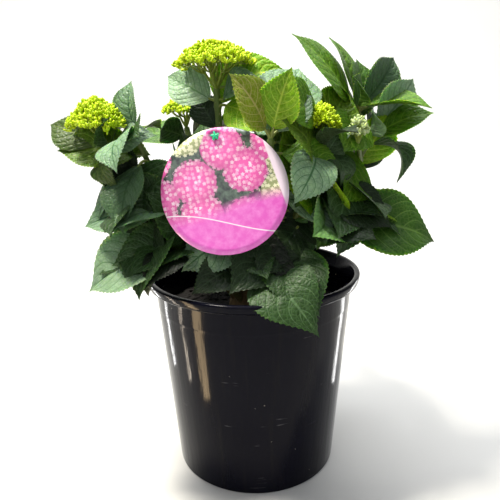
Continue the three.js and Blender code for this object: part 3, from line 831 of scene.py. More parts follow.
mass_names = [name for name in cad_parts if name.startswith("leaves_")]
crown = surface_of(mass_names)
HEAD_MARGIN = np.array([0.18, 0.0, 0.4])
shown = ["hang_tag", *(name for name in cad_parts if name.startswith("bloom_"))]
shown_surface = surface_of(shown)
shown_boxes = []
for name in shown:
    low, high = (np.array(side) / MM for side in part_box(name))
    if name != "hang_tag":
        low, high = low + (high - low) * HEAD_MARGIN, high - (high - low) * [HEAD_MARGIN[0], 0, 0]
    shown_boxes.append((low, high))
SHOWN_SPACE = 4
SHOWN_DEPTH = 60
FACE_OUT = 1.5
STEEP_FACE = 0.4
LIGHT_ROOT = np.array([0.0, 60.0, 0.0])
LEAF_WIDEST = 66
LEAST_LOBE = 38
LOBE_APART = math.cos(math.radians(32))
LOBE_FOOT = 0.14
LOBE_ARCH = 5
DROOP_ARCH = 0.35
LOWEST_TIP = 172
CROWN_SLACK = 7
TRIES_FOR_EACH = 60
YOUNG_LENGTH = (34, 44)
AGE_LENGTH = 26
HEADING_SCATTER = 14
CLIMB_SCATTER = 22
MIDDLES_APART = 15
TRIED_HALF = {"lobe": 0.2, "fill": 0.3}
stalks = []


def in_crown(place, slack):
    """Whether a place is inside the crown's solids, or outside by less than the slack."""
    met, normal, _, distance = crown.find_nearest(Vector(place))
    return distance < slack or (Vector(place) - met).dot(normal) < 0


def keeps_clear(place):
    """Whether a place is off the tag and the flower heads and doesn't stand close before one."""
    for low, high in shown_boxes:
        if high[1] - SHOWN_DEPTH < place[1] < high[1] and low[0] < place[0] < high[0]:
            if low[2] < place[2] < high[2]:
                return False
    return shown_surface.find_nearest(Vector(place))[3] > SHOWN_SPACE


def grow_stalk(line, foot, into):
    """A leaf's stalk: out of the limb near the blade's foot, curving round into its midrib."""
    gaps = np.linalg.norm(line[:, :3] - foot, axis=1)
    drop = int(0.45 * gaps.min() / LIMB_STEP)
    start = line[max(0, int(gaps.argmin()) - drop)]
    far = np.linalg.norm(foot - start[:3])
    bow = start[:3] + np.array([0, 0, 0.3 * far]) + 0.15 * (foot - start[:3])
    lead = foot - unit(into) * 0.3 * far
    t = np.linspace(0, 1, 9)[:, None]
    route = (
        (1 - t) ** 3 * start[:3] + 3 * (1 - t) ** 2 * t * bow
        + 3 * (1 - t) * t ** 2 * lead + t ** 3 * (foot + unit(into) * 1.5)
    )
    stalks.append((route, np.linspace(1.7, 1.0, len(route))))


def turned_to_light(place, out):
    """Which way a blade's upper side looks: up and outwards, the more outwards the flatter it lies."""
    outward = (place - LIGHT_ROOT) * [1, 1, 0]
    return FACE_OUT * (1 - STEEP_FACE * out[2] ** 2) * unit(outward) + [0, 0, 1]


def blade_spots(foot, tip, half):
    """Places down the middle of a blade and at both its edges, to try it by."""
    out = unit(tip - foot)
    side = unit(np.cross(out, turned_to_light(foot, out)))
    return [foot + (tip - foot) * t + side * half * s for t, s in (
        (0.3, 0), (0.65, 0), (1, 0), (0.35, 0.8), (0.35, -0.8), (0.5, 1), (0.5, -1), (0.7, 0.8), (0.7, -0.8),
    )]


def grow_leaf(line, leaves, foot, tip, tint, rng, bend=None):
    """One leaf from foot to tip, with its stalk: its width follows from its length."""
    length = np.linalg.norm(tip - foot)
    out = (tip - foot) / length
    shape = {
        "bend": rng.uniform(0.04, 0.14) if bend is None else bend,
        "fold": rng.uniform(5, 20), "curl": rng.uniform(-18, 18), "phase": rng.uniform(0, 1),
        "ripple": rng.uniform(0.4, 1.4), "broad": rng.uniform(0.4, 0.52),
    }
    width = min(LEAF_WIDEST, length * rng.uniform(0.68, 0.82))
    face = turned_to_light(foot, out) + rng.normal(0, 0.12, 3)
    leaves.append({
        "points": blade_points(foot, tip, width, face, shape), "tint": tint, "middle": (foot + tip) / 2,
    })
    grow_stalk(line, foot, tip - foot)


def outer_leaves(mass, line, leaves, tints, rng):
    """The largest leaves: one along each lobe of the mass's solid, the longest lobe first. A leaf
    that hangs arches over first, as its lobe does."""
    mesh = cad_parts[mass].data
    points = np.array([vertex.co for vertex in mesh.vertices]) / MM
    heart = line[np.linalg.norm(line[:, :3] - points.mean(axis=0), axis=1).argmin(), :3]
    reach = np.linalg.norm(points - heart, axis=1)
    rays = []
    for place in points[np.argsort(-reach, kind="stable")]:
        ray = unit(place - heart)
        if np.linalg.norm(place - heart) < LEAST_LOBE:
            break
        if any(np.dot(ray, other) > LOBE_APART for other in rays):
            continue
        rays.append(ray)
        foot = heart + LOBE_FOOT * (place - heart)
        length = np.linalg.norm(place - foot)
        if all(keeps_clear(spot) for spot in blade_spots(foot, place, TRIED_HALF["lobe"] * length)):
            bend = (LOBE_ARCH + DROOP_ARCH * max(0.0, -ray[2]) * length) / length
            grow_leaf(line, leaves, foot, place, tints[len(leaves) % len(tints)], rng, bend)


def fill_spray(line, leaves, wanted, tints, rng, size=1.0, droop=0.35, foremost=-200):
    """Adds leaves by the growing rule: opposite pairs at chance heights on the limb, each pair
    tried turned a quarter from the one before, younger, shorter and steeper towards the tip. A
    leaf is kept where the crown has room for it. The tints go from the youngest leaves' to the
    oldest's, the size is a share of the common leaf's, the droop turns the tips down and no leaf
    comes further forward than foremost."""
    bearing = rng.uniform(0, 360)
    for _ in range(TRIES_FOR_EACH * wanted):
        if wanted <= 0:
            return
        share = rng.uniform(0.35, 1.0)
        node = line[int(share * (len(line) - 1))]
        bearing += 90
        for turn in (0, 180):
            heading = math.radians(bearing + turn + rng.normal(0, HEADING_SCATTER))
            climb = math.radians(70 * share - 25 + rng.normal(0, CLIMB_SCATTER))
            level = np.array([math.cos(heading), math.sin(heading), 0])
            out = level * math.cos(climb) + np.array([0, 0, math.sin(climb)])
            length = size * (rng.uniform(*YOUNG_LENGTH) + AGE_LENGTH * (1 - share))
            foot = node[:3] + out * (8 + 30 * (1 - share) * rng.uniform(0.4, 1))
            tip = foot + unit(out - [0, 0, droop]) * length
            middle = (foot + tip) / 2
            spots = blade_spots(foot, tip, TRIED_HALF["fill"] * length)
            if min(spot[1] for spot in spots) < foremost or tip[2] < LOWEST_TIP:
                continue
            if not all(in_crown(spot, CROWN_SLACK * size) and keeps_clear(spot) for spot in spots):
                continue
            if any(np.linalg.norm(leaf["middle"] - middle) < MIDDLES_APART * size for leaf in leaves):
                continue
            age = min(0.99, max(0.0, (1 - share) / 0.65 + rng.normal(0, 0.25)))
            grow_leaf(line, leaves, foot, tip, tints[int(age * len(tints))], rng)
            wanted -= 1


def grow_spray(mass, limb, outer, inner, fill, size, droop):
    """One mass of foliage: a leaf along each of its lobes, and the rest by the growing rule."""
    rng = np.random.default_rng(sum(map(ord, mass)))
    line = limb_lines[limb]
    leaves = []
    outer_leaves(mass, line, leaves, outer, rng)
    fill_spray(line, leaves, fill, inner, rng, size, droop)
    piece = spray_piece("sprays_" + mass.removeprefix("leaves_"), leaves)
    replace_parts(piece, mass)


# The front of the crown. The tints paint in the light: sunlit leaves are pale with a painted sheen or lime
# with painted light from behind, the ones low in the pot's shade nearly black with painted shade, and those
# seen from below olive: each spray is given its own tints, the outer leaves' from the longest, the inner
# leaves' from the youngest.
for mass, limb, outer, inner, count in (
    ("leaves_left", "cane_left", ["olive", "painted_sheen", "olivelit", "deep"],
        ["olivelit", "painted_sheen_dark", "deep", "deep"], 14),
    ("leaves_upper_left", "bough_upper_left", ["painted_sheen", "olivelit", "deep"],
        ["fresh", "olivelit", "painted_sheen_dark", "deep", "shade"], 14),
    ("leaves_low_left", "cane_low_left", ["painted_sheen", "painted_sheen_dark", "shade"],
        ["deep", "deep", "shade", "night"], 12),
    ("leaves_front_left", "bough_front_left", ["pale", "night", "shade"],
        ["deep", "shade", "night"], 8),
    ("leaves_centre", "cane_centre", ["pale", "painted_sheen_dark", "deep", "deep"],
        ["lime", "brown", "painted_sheen", "deep", "deep", "shade"], 18),
    ("leaves_centre_right", "cane_centre_right", ["painted_sheen", "yellow", "yellowlime", "painted_sheen_dark"],
        ["fresh", "olivelit", "painted_sheen", "deep", "shade"], 16),
    ("leaves_right", "cane_right", ["painted_sheen", "shade", "shade", "deep"],
        ["fresh", "olivelit", "shade", "shade"], 16),
    ("leaves_top_right", "bough_top_right", ["sunlit", "sunlit", "painted_sheen_dark", "mid"],
        ["fresh", "sunlit", "mid", "deep"], 12),
    ("leaves_far_right", "cane_far_right", ["pale", "sunlit", "deep", "deep"],
        ["lime", "sunlit", "mid", "deep", "deep"], 14),
    ("leaves_low_right", "bough_low_right", ["mid", "painted_sheen_fresh", "shade", "deep"],
        ["lime", "deep", "shade", "shade"], 14),
    ("leaves_front", "cane_front", ["deep", "shade", "deep", "shade"],
        ["shade", "night", "night"], 10),
):
    grow_spray(mass, limb, outer, inner, count, size=1.35, droop=0.6)

# The back of the crown, in fewer tints. Its leaves hang more than the front's.
for mass, limb, count, tints in (
    ("leaves_back", "cane_back", 20, ["fresh", "mid", "painted_sheen", "painted_sheen_dark", "deep"]),
    ("leaves_back_left", "cane_back_left", 18, ["mid", "olive", "painted_sheen_dark", "deep"]),
    ("leaves_back_right", "cane_back_right", 18, ["fresh", "mid", "painted_sheen", "deep"]),
    ("leaves_back_low_left", "bough_back_low_left", 16, ["mid", "painted_sheen_dark", "deep"]),
    ("leaves_back_low_right", "bough_back_low_right", 16, ["mid", "deep", "shade"]),
):
    grow_spray(mass, limb, tints, tints, count, size=1.35, droop=0.8)
# The middle of the crown, within the rest, is all in shade.
INNER_LEAVES = 4
INNER_SHARE = 0.8
INNER_FOREMOST = -45
inner = []
for limb in canes:
    rng = np.random.default_rng(len(inner) + 40)
    lower = limb_lines[limb][:int(INNER_SHARE * len(limb_lines[limb]))]
    fill_spray(lower, inner, INNER_LEAVES, ["shade", "deep"], rng, foremost=INNER_FOREMOST)
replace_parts(spray_piece("sprays_inner", inner), "leaves_inner")

# Leaf stalks are round, fleshy and green, thicker where they leave the cane. The same tree makes
# the flower heads' rays and the tag's tie: it turns lines into tubes as thick as the line says.
strand_tree, given, result = start_tree("strands", Sides=("Int", 8), Material=("Material", None))
curves = add_node(strand_tree, "GeometryNodeMeshToCurve", {"Mesh": given["Geometry"]})
thick = add_node(strand_tree, "GeometryNodeInputNamedAttribute", {"Name": "thick"}, data_type="FLOAT")
ring = add_node(strand_tree, "GeometryNodeCurvePrimitiveCircle", {
    "Resolution": given["Sides"], "Radius": 1.0,
})
tubes = add_node(strand_tree, "GeometryNodeCurveToMesh", {
    "Curve": curves.outputs[0], "Profile Curve": ring.outputs["Curve"],
    "Scale": thick.outputs["Attribute"], "Fill Caps": True,
})
smooth_sides = add_node(strand_tree, "GeometryNodeSetShadeSmooth", {
    "Geometry": tubes.outputs[0], "Shade Smooth": True,
})
finished = add_node(strand_tree, "GeometryNodeSetMaterial", {
    "Geometry": smooth_sides.outputs[0], "Material": given["Material"],
})
strand_tree.links.new(finished.outputs[0], result.inputs["Geometry"])


def strands(name, routes, sides, material):
    """Tubes along routes in millimetres, each a line of places with a radius at each place."""
    edges, start = [], 0
    for line, _ in routes:
        edges += [(start + i, start + i + 1) for i in range(len(line) - 1)]
        start += len(line)
    mesh = bpy.data.meshes.new(name)
    mesh.from_pydata((np.vstack([line for line, _ in routes]) * MM).tolist(), edges, [])
    thick = mesh.attributes.new("thick", "FLOAT", "POINT")
    thick.data.foreach_set("value", np.concatenate([radius for _, radius in routes]) * MM)
    source = bpy.data.objects.new(name + "_lines", mesh)
    bpy.context.scene.collection.objects.link(source)
    return made_by(strand_tree, source, name, sides=sides, material=material)


# Living green stalk, slightly flushed with tan in patches.
green_stalk, tree, shader = start_material(
    "leaf stalk, green, living", IOR=1.42, Roughness=0.45, Subsurface_Weight=0.3,
    Subsurface_Radius=(0.6, 1.0, 0.2), Subsurface_Scale=1 * MM,
)
place = add_node(tree, "ShaderNodeTexCoord").outputs["Object"]
patches = add_node(tree, "ShaderNodeTexNoise", {"Vector": place, "Scale": 1 / (12 * MM), "Detail": 3})
blush = add_node(tree, "ShaderNodeMix", {
    "Factor": patches.outputs["Fac"], 6: linear("#6f8a2c"), 7: linear("#7a7444"),
}, data_type="RGBA")
tree.links.new(blush.outputs[2], shader.inputs["Base Color"])

leaf_stalks = strands("leaf_stalks", stalks, 8, green_stalk)
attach(leaf_stalks, "root")

# ---- Flower heads ----
# Mopheads still in bud: a shoot's tip splits into rays that split twice more and end in knots of
# long blunt buds, which pack into a low dome. The smallest head is cream and the rest are lime.
BUD_SIZE = 0.95
KNOT_SPREAD = 2.7
GOLDEN_TURN = math.pi * (3 - math.sqrt(5))

bud_tree, given, result = start_tree(
    "buds set", Segments=("Int", 8), Rings=("Int", 5), Material=("Material", None),
)
size = add_node(bud_tree, "GeometryNodeInputNamedAttribute", {"Name": "thick"}, data_type="FLOAT")
heading = add_node(bud_tree, "GeometryNodeInputNamedAttribute", {
    "Name": "outward",
}, data_type="FLOAT_VECTOR")
aimed = add_node(bud_tree, "FunctionNodeAlignRotationToVector", {
    "Vector": heading.outputs["Attribute"],
}, axis="Z")
bud = add_node(bud_tree, "GeometryNodeMeshUVSphere", {
    "Segments": given["Segments"], "Rings": given["Rings"], "Radius": 1.0,
})
long_bud = add_node(bud_tree, "GeometryNodeTransform", {
    "Geometry": bud.outputs["Mesh"], "Scale": (1.0, 1.0, 1.9),
})
spots = add_node(bud_tree, "GeometryNodeMeshToPoints", {"Mesh": given["Geometry"]})
set_out = add_node(bud_tree, "GeometryNodeInstanceOnPoints", {
    "Points": spots.outputs[0], "Instance": long_bud.outputs[0], "Rotation": aimed.outputs[0],
    "Scale": size.outputs["Attribute"],
})
real = add_node(bud_tree, "GeometryNodeRealizeInstances", {"Geometry": set_out.outputs[0]})
smooth_sides = add_node(bud_tree, "GeometryNodeSetShadeSmooth", {
    "Geometry": real.outputs[0], "Shade Smooth": True,
})
finished = add_node(bud_tree, "GeometryNodeSetMaterial", {
    "Geometry": smooth_sides.outputs[0], "Material": given["Material"],
})
bud_tree.links.new(finished.outputs[0], result.inputs["Geometry"])


def bud_finish(name, low, high):
    """Closed flower buds, or the rays under them: soft, waxy and lit right through, going from one
    green to the other in patches about as wide as a knot."""
    material, tree, shader = start_material(
        name, IOR=1.4, Roughness=0.5, Subsurface_Weight=0.5, Subsurface_Radius=(1.0, 1.0, 0.25),
        Subsurface_Scale=1.5 * MM,
    )
    place = add_node(tree, "ShaderNodeTexCoord").outputs["Object"]
    knots = add_node(tree, "ShaderNodeTexNoise", {"Vector": place, "Scale": 1 / (6 * MM), "Detail": 3})
    mixed = add_node(tree, "ShaderNodeMix", {
        "Factor": knots.outputs["Fac"], 6: linear(low), 7: linear(high),
    }, data_type="RGBA")
    tree.links.new(mixed.outputs[2], shader.inputs["Base Color"])
    return material


lime_buds = bud_finish("flower buds, lime", "#8aa806", "#d6ec14")
cream_buds = bud_finish("flower buds, cream", "#8ca460", "#c8d4a0")
ray_stalk = bud_finish("flower rays, yellow green", "#5f6e24", "#8a9a34")


def dome(count, half, start=0.0):
    """Even places over a round dome of this half width, from above, in a sunflower's order."""
    number = np.arange(count)
    radius = np.sqrt((number + 0.5) / count)
    turn = number * GOLDEN_TURN + start
    return np.transpose([radius * np.cos(turn), radius * np.sin(turn)]) * half


def flower_head(node, tips, buds_each, buds_material, seed, droop=0.5, crest=0.93, spread=1.0):
    """One head: its rays and its buds, fitted to the plain solid that stands for it. The outer
    knots hang to the droop's share of the head's height, the top rises to the crest's share and the
    head is as wide as its solid times the spread."""
    rng = np.random.default_rng(seed)
    low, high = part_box(node)
    middle = (low + high) / 2 / MM
    base, height = low[2] / MM, (high[2] - low[2]) / MM
    half = spread * (high[0] - low[0]) / 2 / MM - BUD_SIZE
    foot = np.array([middle[0], middle[1], base])

    def raised(flat, floor, rise):
        share = 1 - (np.linalg.norm(flat, axis=1) / half) ** 2
        return np.column_stack([flat, height * (floor + rise * share)]) + foot

    first = raised(dome(7, half * 0.3, seed), droop * 0.4, 0.12)
    second = raised(dome(max(9, tips // 4), half * 0.72, seed), droop * 0.75, 0.62 - droop * 0.75)
    flat = dome(tips, half * 0.97, seed) + rng.normal(0, half * 0.03, (tips, 2))
    third = raised(flat, droop, crest - droop)
    third[:, 2] += rng.normal(0, height * 0.03, tips)
    routes = []

    def ray(start, end, radius):
        t = np.linspace(0, 1, 6)[:, None]
        route = start + (end - start) * t
        route[:, 2] -= (0.12 * np.linalg.norm(end[:2] - start[:2]) * np.sin(math.pi * t))[:, 0]
        routes.append((route, np.linspace(radius, radius * 0.7, 6)))

    for place in first:
        ray(foot - [0, 0, 1.5], place, 1.1 + 0.012 * half)
    for place in second:
        ray(first[np.linalg.norm(first - place, axis=1).argmin()], place, 0.8)
    for place in third:
        ray(second[np.linalg.norm(second - place, axis=1).argmin()], place, 0.45)
    places = np.repeat(third, buds_each, axis=0)
    away = rng.normal(size=places.shape) + [0, 0, 0.6]
    away /= np.linalg.norm(away, axis=1)[:, None]
    places = places + away * KNOT_SPREAD * [1, 1, 0.8]
    head = "flower_head_" + node.removeprefix("bloom_")
    rays = strands(head + "_rays", routes, 6, ray_stalk)
    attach(rays, "root")
    mesh = bpy.data.meshes.new(head)
    mesh.from_pydata((places * MM).tolist(), [], [])
    sizes = mesh.attributes.new("thick", "FLOAT", "POINT")
    sizes.data.foreach_set("value", rng.uniform(0.8, 1.25, len(places)) * BUD_SIZE * MM)
    outward = mesh.attributes.new("outward", "FLOAT_VECTOR", "POINT")
    outward.data.foreach_set("vector", (away + [0, 0, 0.8]).ravel())
    source = bpy.data.objects.new(head + "_points", mesh)
    bpy.context.scene.collection.objects.link(source)
    buds = made_by(bud_tree, source, head, segments=6, rings=5, material=buds_material)
    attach(buds, "root")
    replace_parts(buds, node)


flower_head("bloom_centre", 170, 9, lime_buds, 1, 0.45)
flower_head("bloom_left", 150, 9, lime_buds, 2, 0.1, 0.84, 1.16)
flower_head("bloom_right", 74, 9, lime_buds, 3, 0.05, 0.7, 1.1)
flower_head("bloom_small", 20, 8, cream_buds, 4, 0.3)
flower_head("bloom_back", 100, 8, lime_buds, 5)
flower_head("bloom_back_left", 80, 8, lime_buds, 6)

# ---- Plant tag ----
# A round card of 0.8 mm laminated board, die cut with a hung hole and printed on the front with
# flowers over a bright band. It has taken a slight curl down its right side.
TAG_EDGE_STEPS = 96
TAG_CURL = 1.6
CARD_THICKNESS = 0.8
tag_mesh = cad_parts["hang_tag"].data
tag_points = np.array([vertex.co[:] for vertex in tag_mesh.vertices]) / MM
tag_middle = (tag_points.min(0) + tag_points.max(0)) / 2
tag_front = np.linalg.svd(tag_points - tag_middle)[2][2]
tag_front *= -np.sign(tag_front[1])
star_low, star_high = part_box("tag_star")
star_middle = np.array((star_low + star_high) / 2) / MM
tag_up = star_middle - tag_middle
tag_up = unit(tag_up - np.dot(tag_up, tag_front) * tag_front)
tag_right = np.cross(tag_up, tag_front)
tag_radius = np.abs((tag_points - tag_middle) @ tag_right).max()
hole_up = np.dot(star_middle - tag_middle, tag_up)
HOLE_RADIUS = 3.0


def tag_card():
    """Points and faces of the card, and where each face corner lies on it, in millimetres."""
    def circle(radius, steps, up):
        turn = np.arange(steps) * 2 * math.pi / steps
        return [Vector((radius * math.cos(a), up + radius * math.sin(a))) for a in turn]

    outer = circle(tag_radius, TAG_EDGE_STEPS, 0)
    hole = circle(HOLE_RADIUS, 24, hole_up)
    rings = range(5, int(tag_radius - 2), 5)
    inside = [p for radius in rings for p in circle(radius, 4 * radius // 3 + 6, 0)]
    inside = [p for p in inside if (p - Vector((0, hole_up))).length > HOLE_RADIUS + 1.5]
    loops = [list(range(len(outer))), list(range(len(outer), len(outer) + len(hole)))]
    edges = [(loop[i - 1], loop[i]) for loop in loops for i in range(len(loop))]
    flat, _, faces, _, _, _ = delaunay_2d_cdt(outer + hole + inside, edges, [], 0, 1e-4)
    count = len(flat)
    kept = []
    for face in faces:
        middle = sum((flat[i] for i in face), Vector((0, 0))) / len(face)
        if (middle - Vector((0, hole_up))).length > HOLE_RADIUS:
            kept.append(tuple(face))
    points = []
    for level in (0.5, -0.5):
        for x, y in flat:
            curl = TAG_CURL * max(0, (x + 0.3 * y) / tag_radius) ** 2
            deep = level * CARD_THICKNESS - curl
            points.append(tag_middle + tag_right * x + tag_up * y + tag_front * deep)
    all_faces, corners = [], []
    for face in kept:
        all_faces.append(face)
        corners += [(*flat[i], 0) for i in face]
        all_faces.append(tuple(i + count for i in reversed(face)))
        corners += [(*flat[i], 1) for i in reversed(face)]
    for loop, grow in zip(loops, (1.04, 0.94)):
        centre = Vector((0, hole_up if grow < 1 else 0))
        for a, b in zip(loop, loop[1:] + loop[:1]):
            face = (a, a + count, b + count, b) if grow > 1 else (b, b + count, a + count, a)
            all_faces.append(face)
            for i in face:
                spot = flat[i % count]
                spot = spot if i < count else centre + (spot - centre) * grow
                corners.append((*spot, 0))
    return points, all_faces, np.array(corners)


# Printed board, laminated: four-colour print under gloss film. Round pink and cream heads of florets 3 to 4
# mm across, on dark foliage, run down into a magenta band with a fine white line. A pale curved band down the
# right side is a painted highlight, glare on the gloss film. The back is plain off-white.
printed_card, tree, shader = start_material(
    "card, printed and gloss laminated", IOR=1.5, Roughness=0.3, Coat_Weight=0.4, Coat_Roughness=0.12,
)
on_card = add_node(tree, "ShaderNodeAttribute", attribute_name="card")
card = add_node(tree, "ShaderNodeSeparateXYZ", {"Vector": on_card.outputs["Vector"]})


def florets(size, petals):
    """Where the petals lie in a field of florets of one size in millimetres, and their tones."""
    cell = add_node(tree, "ShaderNodeTexVoronoi", {
        "Vector": on_card.outputs["Vector"], "Scale": 1 / size, "Randomness": 0.85,
    }, voronoi_dimensions="2D")
    apart = add_node(tree, "ShaderNodeVectorMath", {
        0: on_card.outputs["Vector"], 1: cell.outputs["Position"],
    }, operation="SUBTRACT")
    apart = add_node(tree, "ShaderNodeSeparateXYZ", {"Vector": apart.outputs[0]})
    own = add_node(tree, "ShaderNodeSeparateColor", {"Color": cell.outputs["Color"]}).outputs[0]
    turn = add_node(tree, "ShaderNodeMath", {
        0: apart.outputs["Y"], 1: apart.outputs["X"],
    }, operation="ARCTAN2")
    own_turn = add_node(tree, "ShaderNodeMath", {0: own, 1: 6.3}, operation="MULTIPLY")
    petal_turn = add_node(tree, "ShaderNodeMath", {
        0: turn.outputs[0], 1: float(petals), 2: own_turn.outputs[0],
    }, operation="MULTIPLY_ADD")
    notched = add_node(tree, "ShaderNodeMath", {0: petal_turn.outputs[0]}, operation="COSINE")
    reach = add_node(tree, "ShaderNodeMath", {
        0: notched.outputs[0], 1: 0.09, 2: 0.46,
    }, operation="MULTIPLY_ADD")
    inside = add_node(tree, "ShaderNodeMath", {
        0: reach.outputs[0], 1: cell.outputs["Distance"],
    }, operation="SUBTRACT")
    petal = add_node(tree, "ShaderNodeMapRange", {
        "Value": inside.outputs[0], "From Min": 0.0, "From Max": 0.12,
    })
    return petal.outputs[0], own


# The dark foliage behind, and the round heads: the cells of a coarse pattern, filled with florets,
# pink but for the few that are cream, and darker towards their rims.
leaves_printed = add_node(tree, "ShaderNodeTexNoise", {
    "Vector": on_card.outputs["Vector"], "Scale": 1 / 6, "Detail": 5, "Roughness": 0.65,
})
leaf_light = add_node(tree, "ShaderNodeMapRange", {
    "Value": leaves_printed.outputs["Fac"], "From Min": 0.4, "From Max": 0.75,
})
foliage = add_node(tree, "ShaderNodeMix", {
    "Factor": leaf_light.outputs[0], 6: linear("#20242a"), 7: linear("#6c8470"),
}, data_type="RGBA")
ball_cells = add_node(tree, "ShaderNodeTexVoronoi", {
    "Vector": on_card.outputs["Vector"], "Scale": 1 / 31, "Randomness": 0.7,
}, voronoi_dimensions="2D")
ball_tone = add_node(tree, "ShaderNodeSeparateColor", {"Color": ball_cells.outputs["Color"]})
petal, own = florets(3.4, 5)
from_heart = add_node(tree, "ShaderNodeMath", {
    0: petal, 1: -0.05, 2: ball_cells.outputs["Distance"],
}, operation="MULTIPLY_ADD")
off_ball = add_node(tree, "ShaderNodeMapRange", {
    "Value": from_heart.outputs[0], "From Min": 0.53, "From Max": 0.56,
})
on_ball = add_node(tree, "ShaderNodeMath", {0: 1.0, 1: off_ball.outputs[0]}, operation="SUBTRACT")
petal_tone = add_node(tree, "ShaderNodeMix", {
    "Factor": own, 6: linear("#f48cc6"), 7: linear("#fcd8ea"),
}, data_type="RGBA")
own_light = add_node(tree, "ShaderNodeMath", {0: own, 1: 0.6, 2: 0.4}, operation="MULTIPLY_ADD")
uneven_petal = add_node(tree, "ShaderNodeMath", {
    0: petal, 1: own_light.outputs[0],
}, operation="MULTIPLY")
pink = add_node(tree, "ShaderNodeMix", {
    "Factor": uneven_petal.outputs[0], 6: linear("#e85cac"), 7: petal_tone.outputs[2],
}, data_type="RGBA")
cream = add_node(tree, "ShaderNodeMix", {
    "Factor": petal, 6: linear("#a4ac78"), 7: linear("#f2f0cc"),
}, data_type="RGBA")
in_cream = add_node(tree, "ShaderNodeMapRange", {
    "Value": ball_tone.outputs[1], "From Min": 0.68, "From Max": 0.69,
})
flowers = add_node(tree, "ShaderNodeMix", {
    "Factor": in_cream.outputs[0], 6: pink.outputs[2], 7: cream.outputs[2],
}, data_type="RGBA")
rounding = add_node(tree, "ShaderNodeMapRange", {
    "Value": ball_cells.outputs["Distance"], "From Min": 0.2, "From Max": 0.6,
})
shading = add_node(tree, "ShaderNodeMath", {
    0: rounding.outputs[0], 1: -0.4, 2: 1.08,
}, operation="MULTIPLY_ADD")
shaded_flowers = add_node(tree, "ShaderNodeHueSaturation", {
    "Color": flowers.outputs[2], "Value": shading.outputs[0],
})
flowered = add_node(tree, "ShaderNodeMix", {
    "Factor": on_ball.outputs[0], 6: foliage.outputs[2], 7: shaded_flowers.outputs[0],
}, data_type="RGBA")

# The bright band across the foot of the card, with a wavy soft upper edge.
run_across = add_node(tree, "ShaderNodeMath", {0: card.outputs["X"], 1: 1 / 24}, operation="MULTIPLY")
swing = add_node(tree, "ShaderNodeMath", {0: run_across.outputs[0]}, operation="SINE")
band_edge = add_node(tree, "ShaderNodeMath", {
    0: swing.outputs[0], 1: -5.0, 2: card.outputs["Y"],
}, operation="MULTIPLY_ADD")
above_band = add_node(tree, "ShaderNodeMapRange", {
    "Value": band_edge.outputs[0], "From Min": -18.0, "From Max": -8.0,
})
on_band = add_node(tree, "ShaderNodeMath", {0: 1.0, 1: above_band.outputs[0]}, operation="SUBTRACT")
band_light = add_node(tree, "ShaderNodeMapRange", {
    "Value": leaves_printed.outputs["Fac"], "From Min": 0.4, "From Max": 0.7,
})
bright = add_node(tree, "ShaderNodeMix", {
    "Factor": band_light.outputs[0], 6: linear("#e45cc4"), 7: linear("#ee86d6"),
}, data_type="RGBA")
banded = add_node(tree, "ShaderNodeMix", {
    "Factor": on_band.outputs[0], 6: flowered.outputs[2], 7: bright.outputs[2],
}, data_type="RGBA")

# The fine line that waves across it.
line_swing = add_node(tree, "ShaderNodeMath", {
    0: swing.outputs[0], 1: 6.0, 2: 26.0,
}, operation="MULTIPLY_ADD")
line_path = add_node(tree, "ShaderNodeMath", {
    0: card.outputs["X"], 1: 0.18, 2: line_swing.outputs[0],
}, operation="MULTIPLY_ADD")
from_line = add_node(tree, "ShaderNodeMath", {
    0: card.outputs["Y"], 1: line_path.outputs[0],
}, operation="ADD")
line_gap = add_node(tree, "ShaderNodeMath", {0: from_line.outputs[0]}, operation="ABSOLUTE")
off_line = add_node(tree, "ShaderNodeMapRange", {
    "Value": line_gap.outputs[0], "From Min": 0.25, "From Max": 0.6,
})
lined = add_node(tree, "ShaderNodeMix", {
    "Factor": off_line.outputs[0], 6: linear("#f8eef6"), 7: banded.outputs[2],
}, data_type="RGBA")

# The painted highlight down the right side: a pale curved band of glare on the gloss film. And the plain
# back.
slant = add_node(tree, "ShaderNodeMath", {
    0: card.outputs["Y"], 1: 0.17, 2: card.outputs["X"],
}, operation="MULTIPLY_ADD")
far_right = add_node(tree, "ShaderNodeMapRange", {
    "Value": slant.outputs[0], "From Min": 41.5, "From Max": 42.3,
})
high_up = add_node(tree, "ShaderNodeMapRange", {
    "Value": card.outputs["Y"], "From Min": -24.0, "From Max": -12.0,
})
painted_glare = add_node(tree, "ShaderNodeMath", {
    0: far_right.outputs[0], 1: high_up.outputs[0],
}, operation="MULTIPLY")
painted_glare_over_print = add_node(tree, "ShaderNodeMix", {
    "Factor": painted_glare.outputs[0], 6: lined.outputs[2], 7: linear("#fbe8f6"),
}, data_type="RGBA")
printed = add_node(tree, "ShaderNodeMix", {
    "Factor": card.outputs["Z"], 6: painted_glare_over_print.outputs[2], 7: linear("#ecebe6"),
}, data_type="RGBA")
tree.links.new(printed.outputs[2], shader.inputs["Base Color"])

card_points, card_faces, card_corners = tag_card()
tag = new_piece("tag_card", card_points, card_faces, printed_card)
tag.data.polygons.foreach_set("use_smooth", [len(face) == 3 for face in card_faces])
on_card = tag.data.attributes.new("card", "FLOAT_VECTOR", "CORNER")
on_card.data.foreach_set("vector", card_corners.ravel())
back_side = card_corners[:, 2:] > 0.5
scale = np.where(back_side, 0.19, 0.355) / tag_radius
uv = tag.data.uv_layers.new(name="OFBake")
uv_places = np.where(back_side, 0.8, 0.375) + card_corners[:, :2] * scale
uv.uv.foreach_set("vector", uv_places.astype(np.float32).ravel())
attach(tag, "root")
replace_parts(tag, "hang_tag")

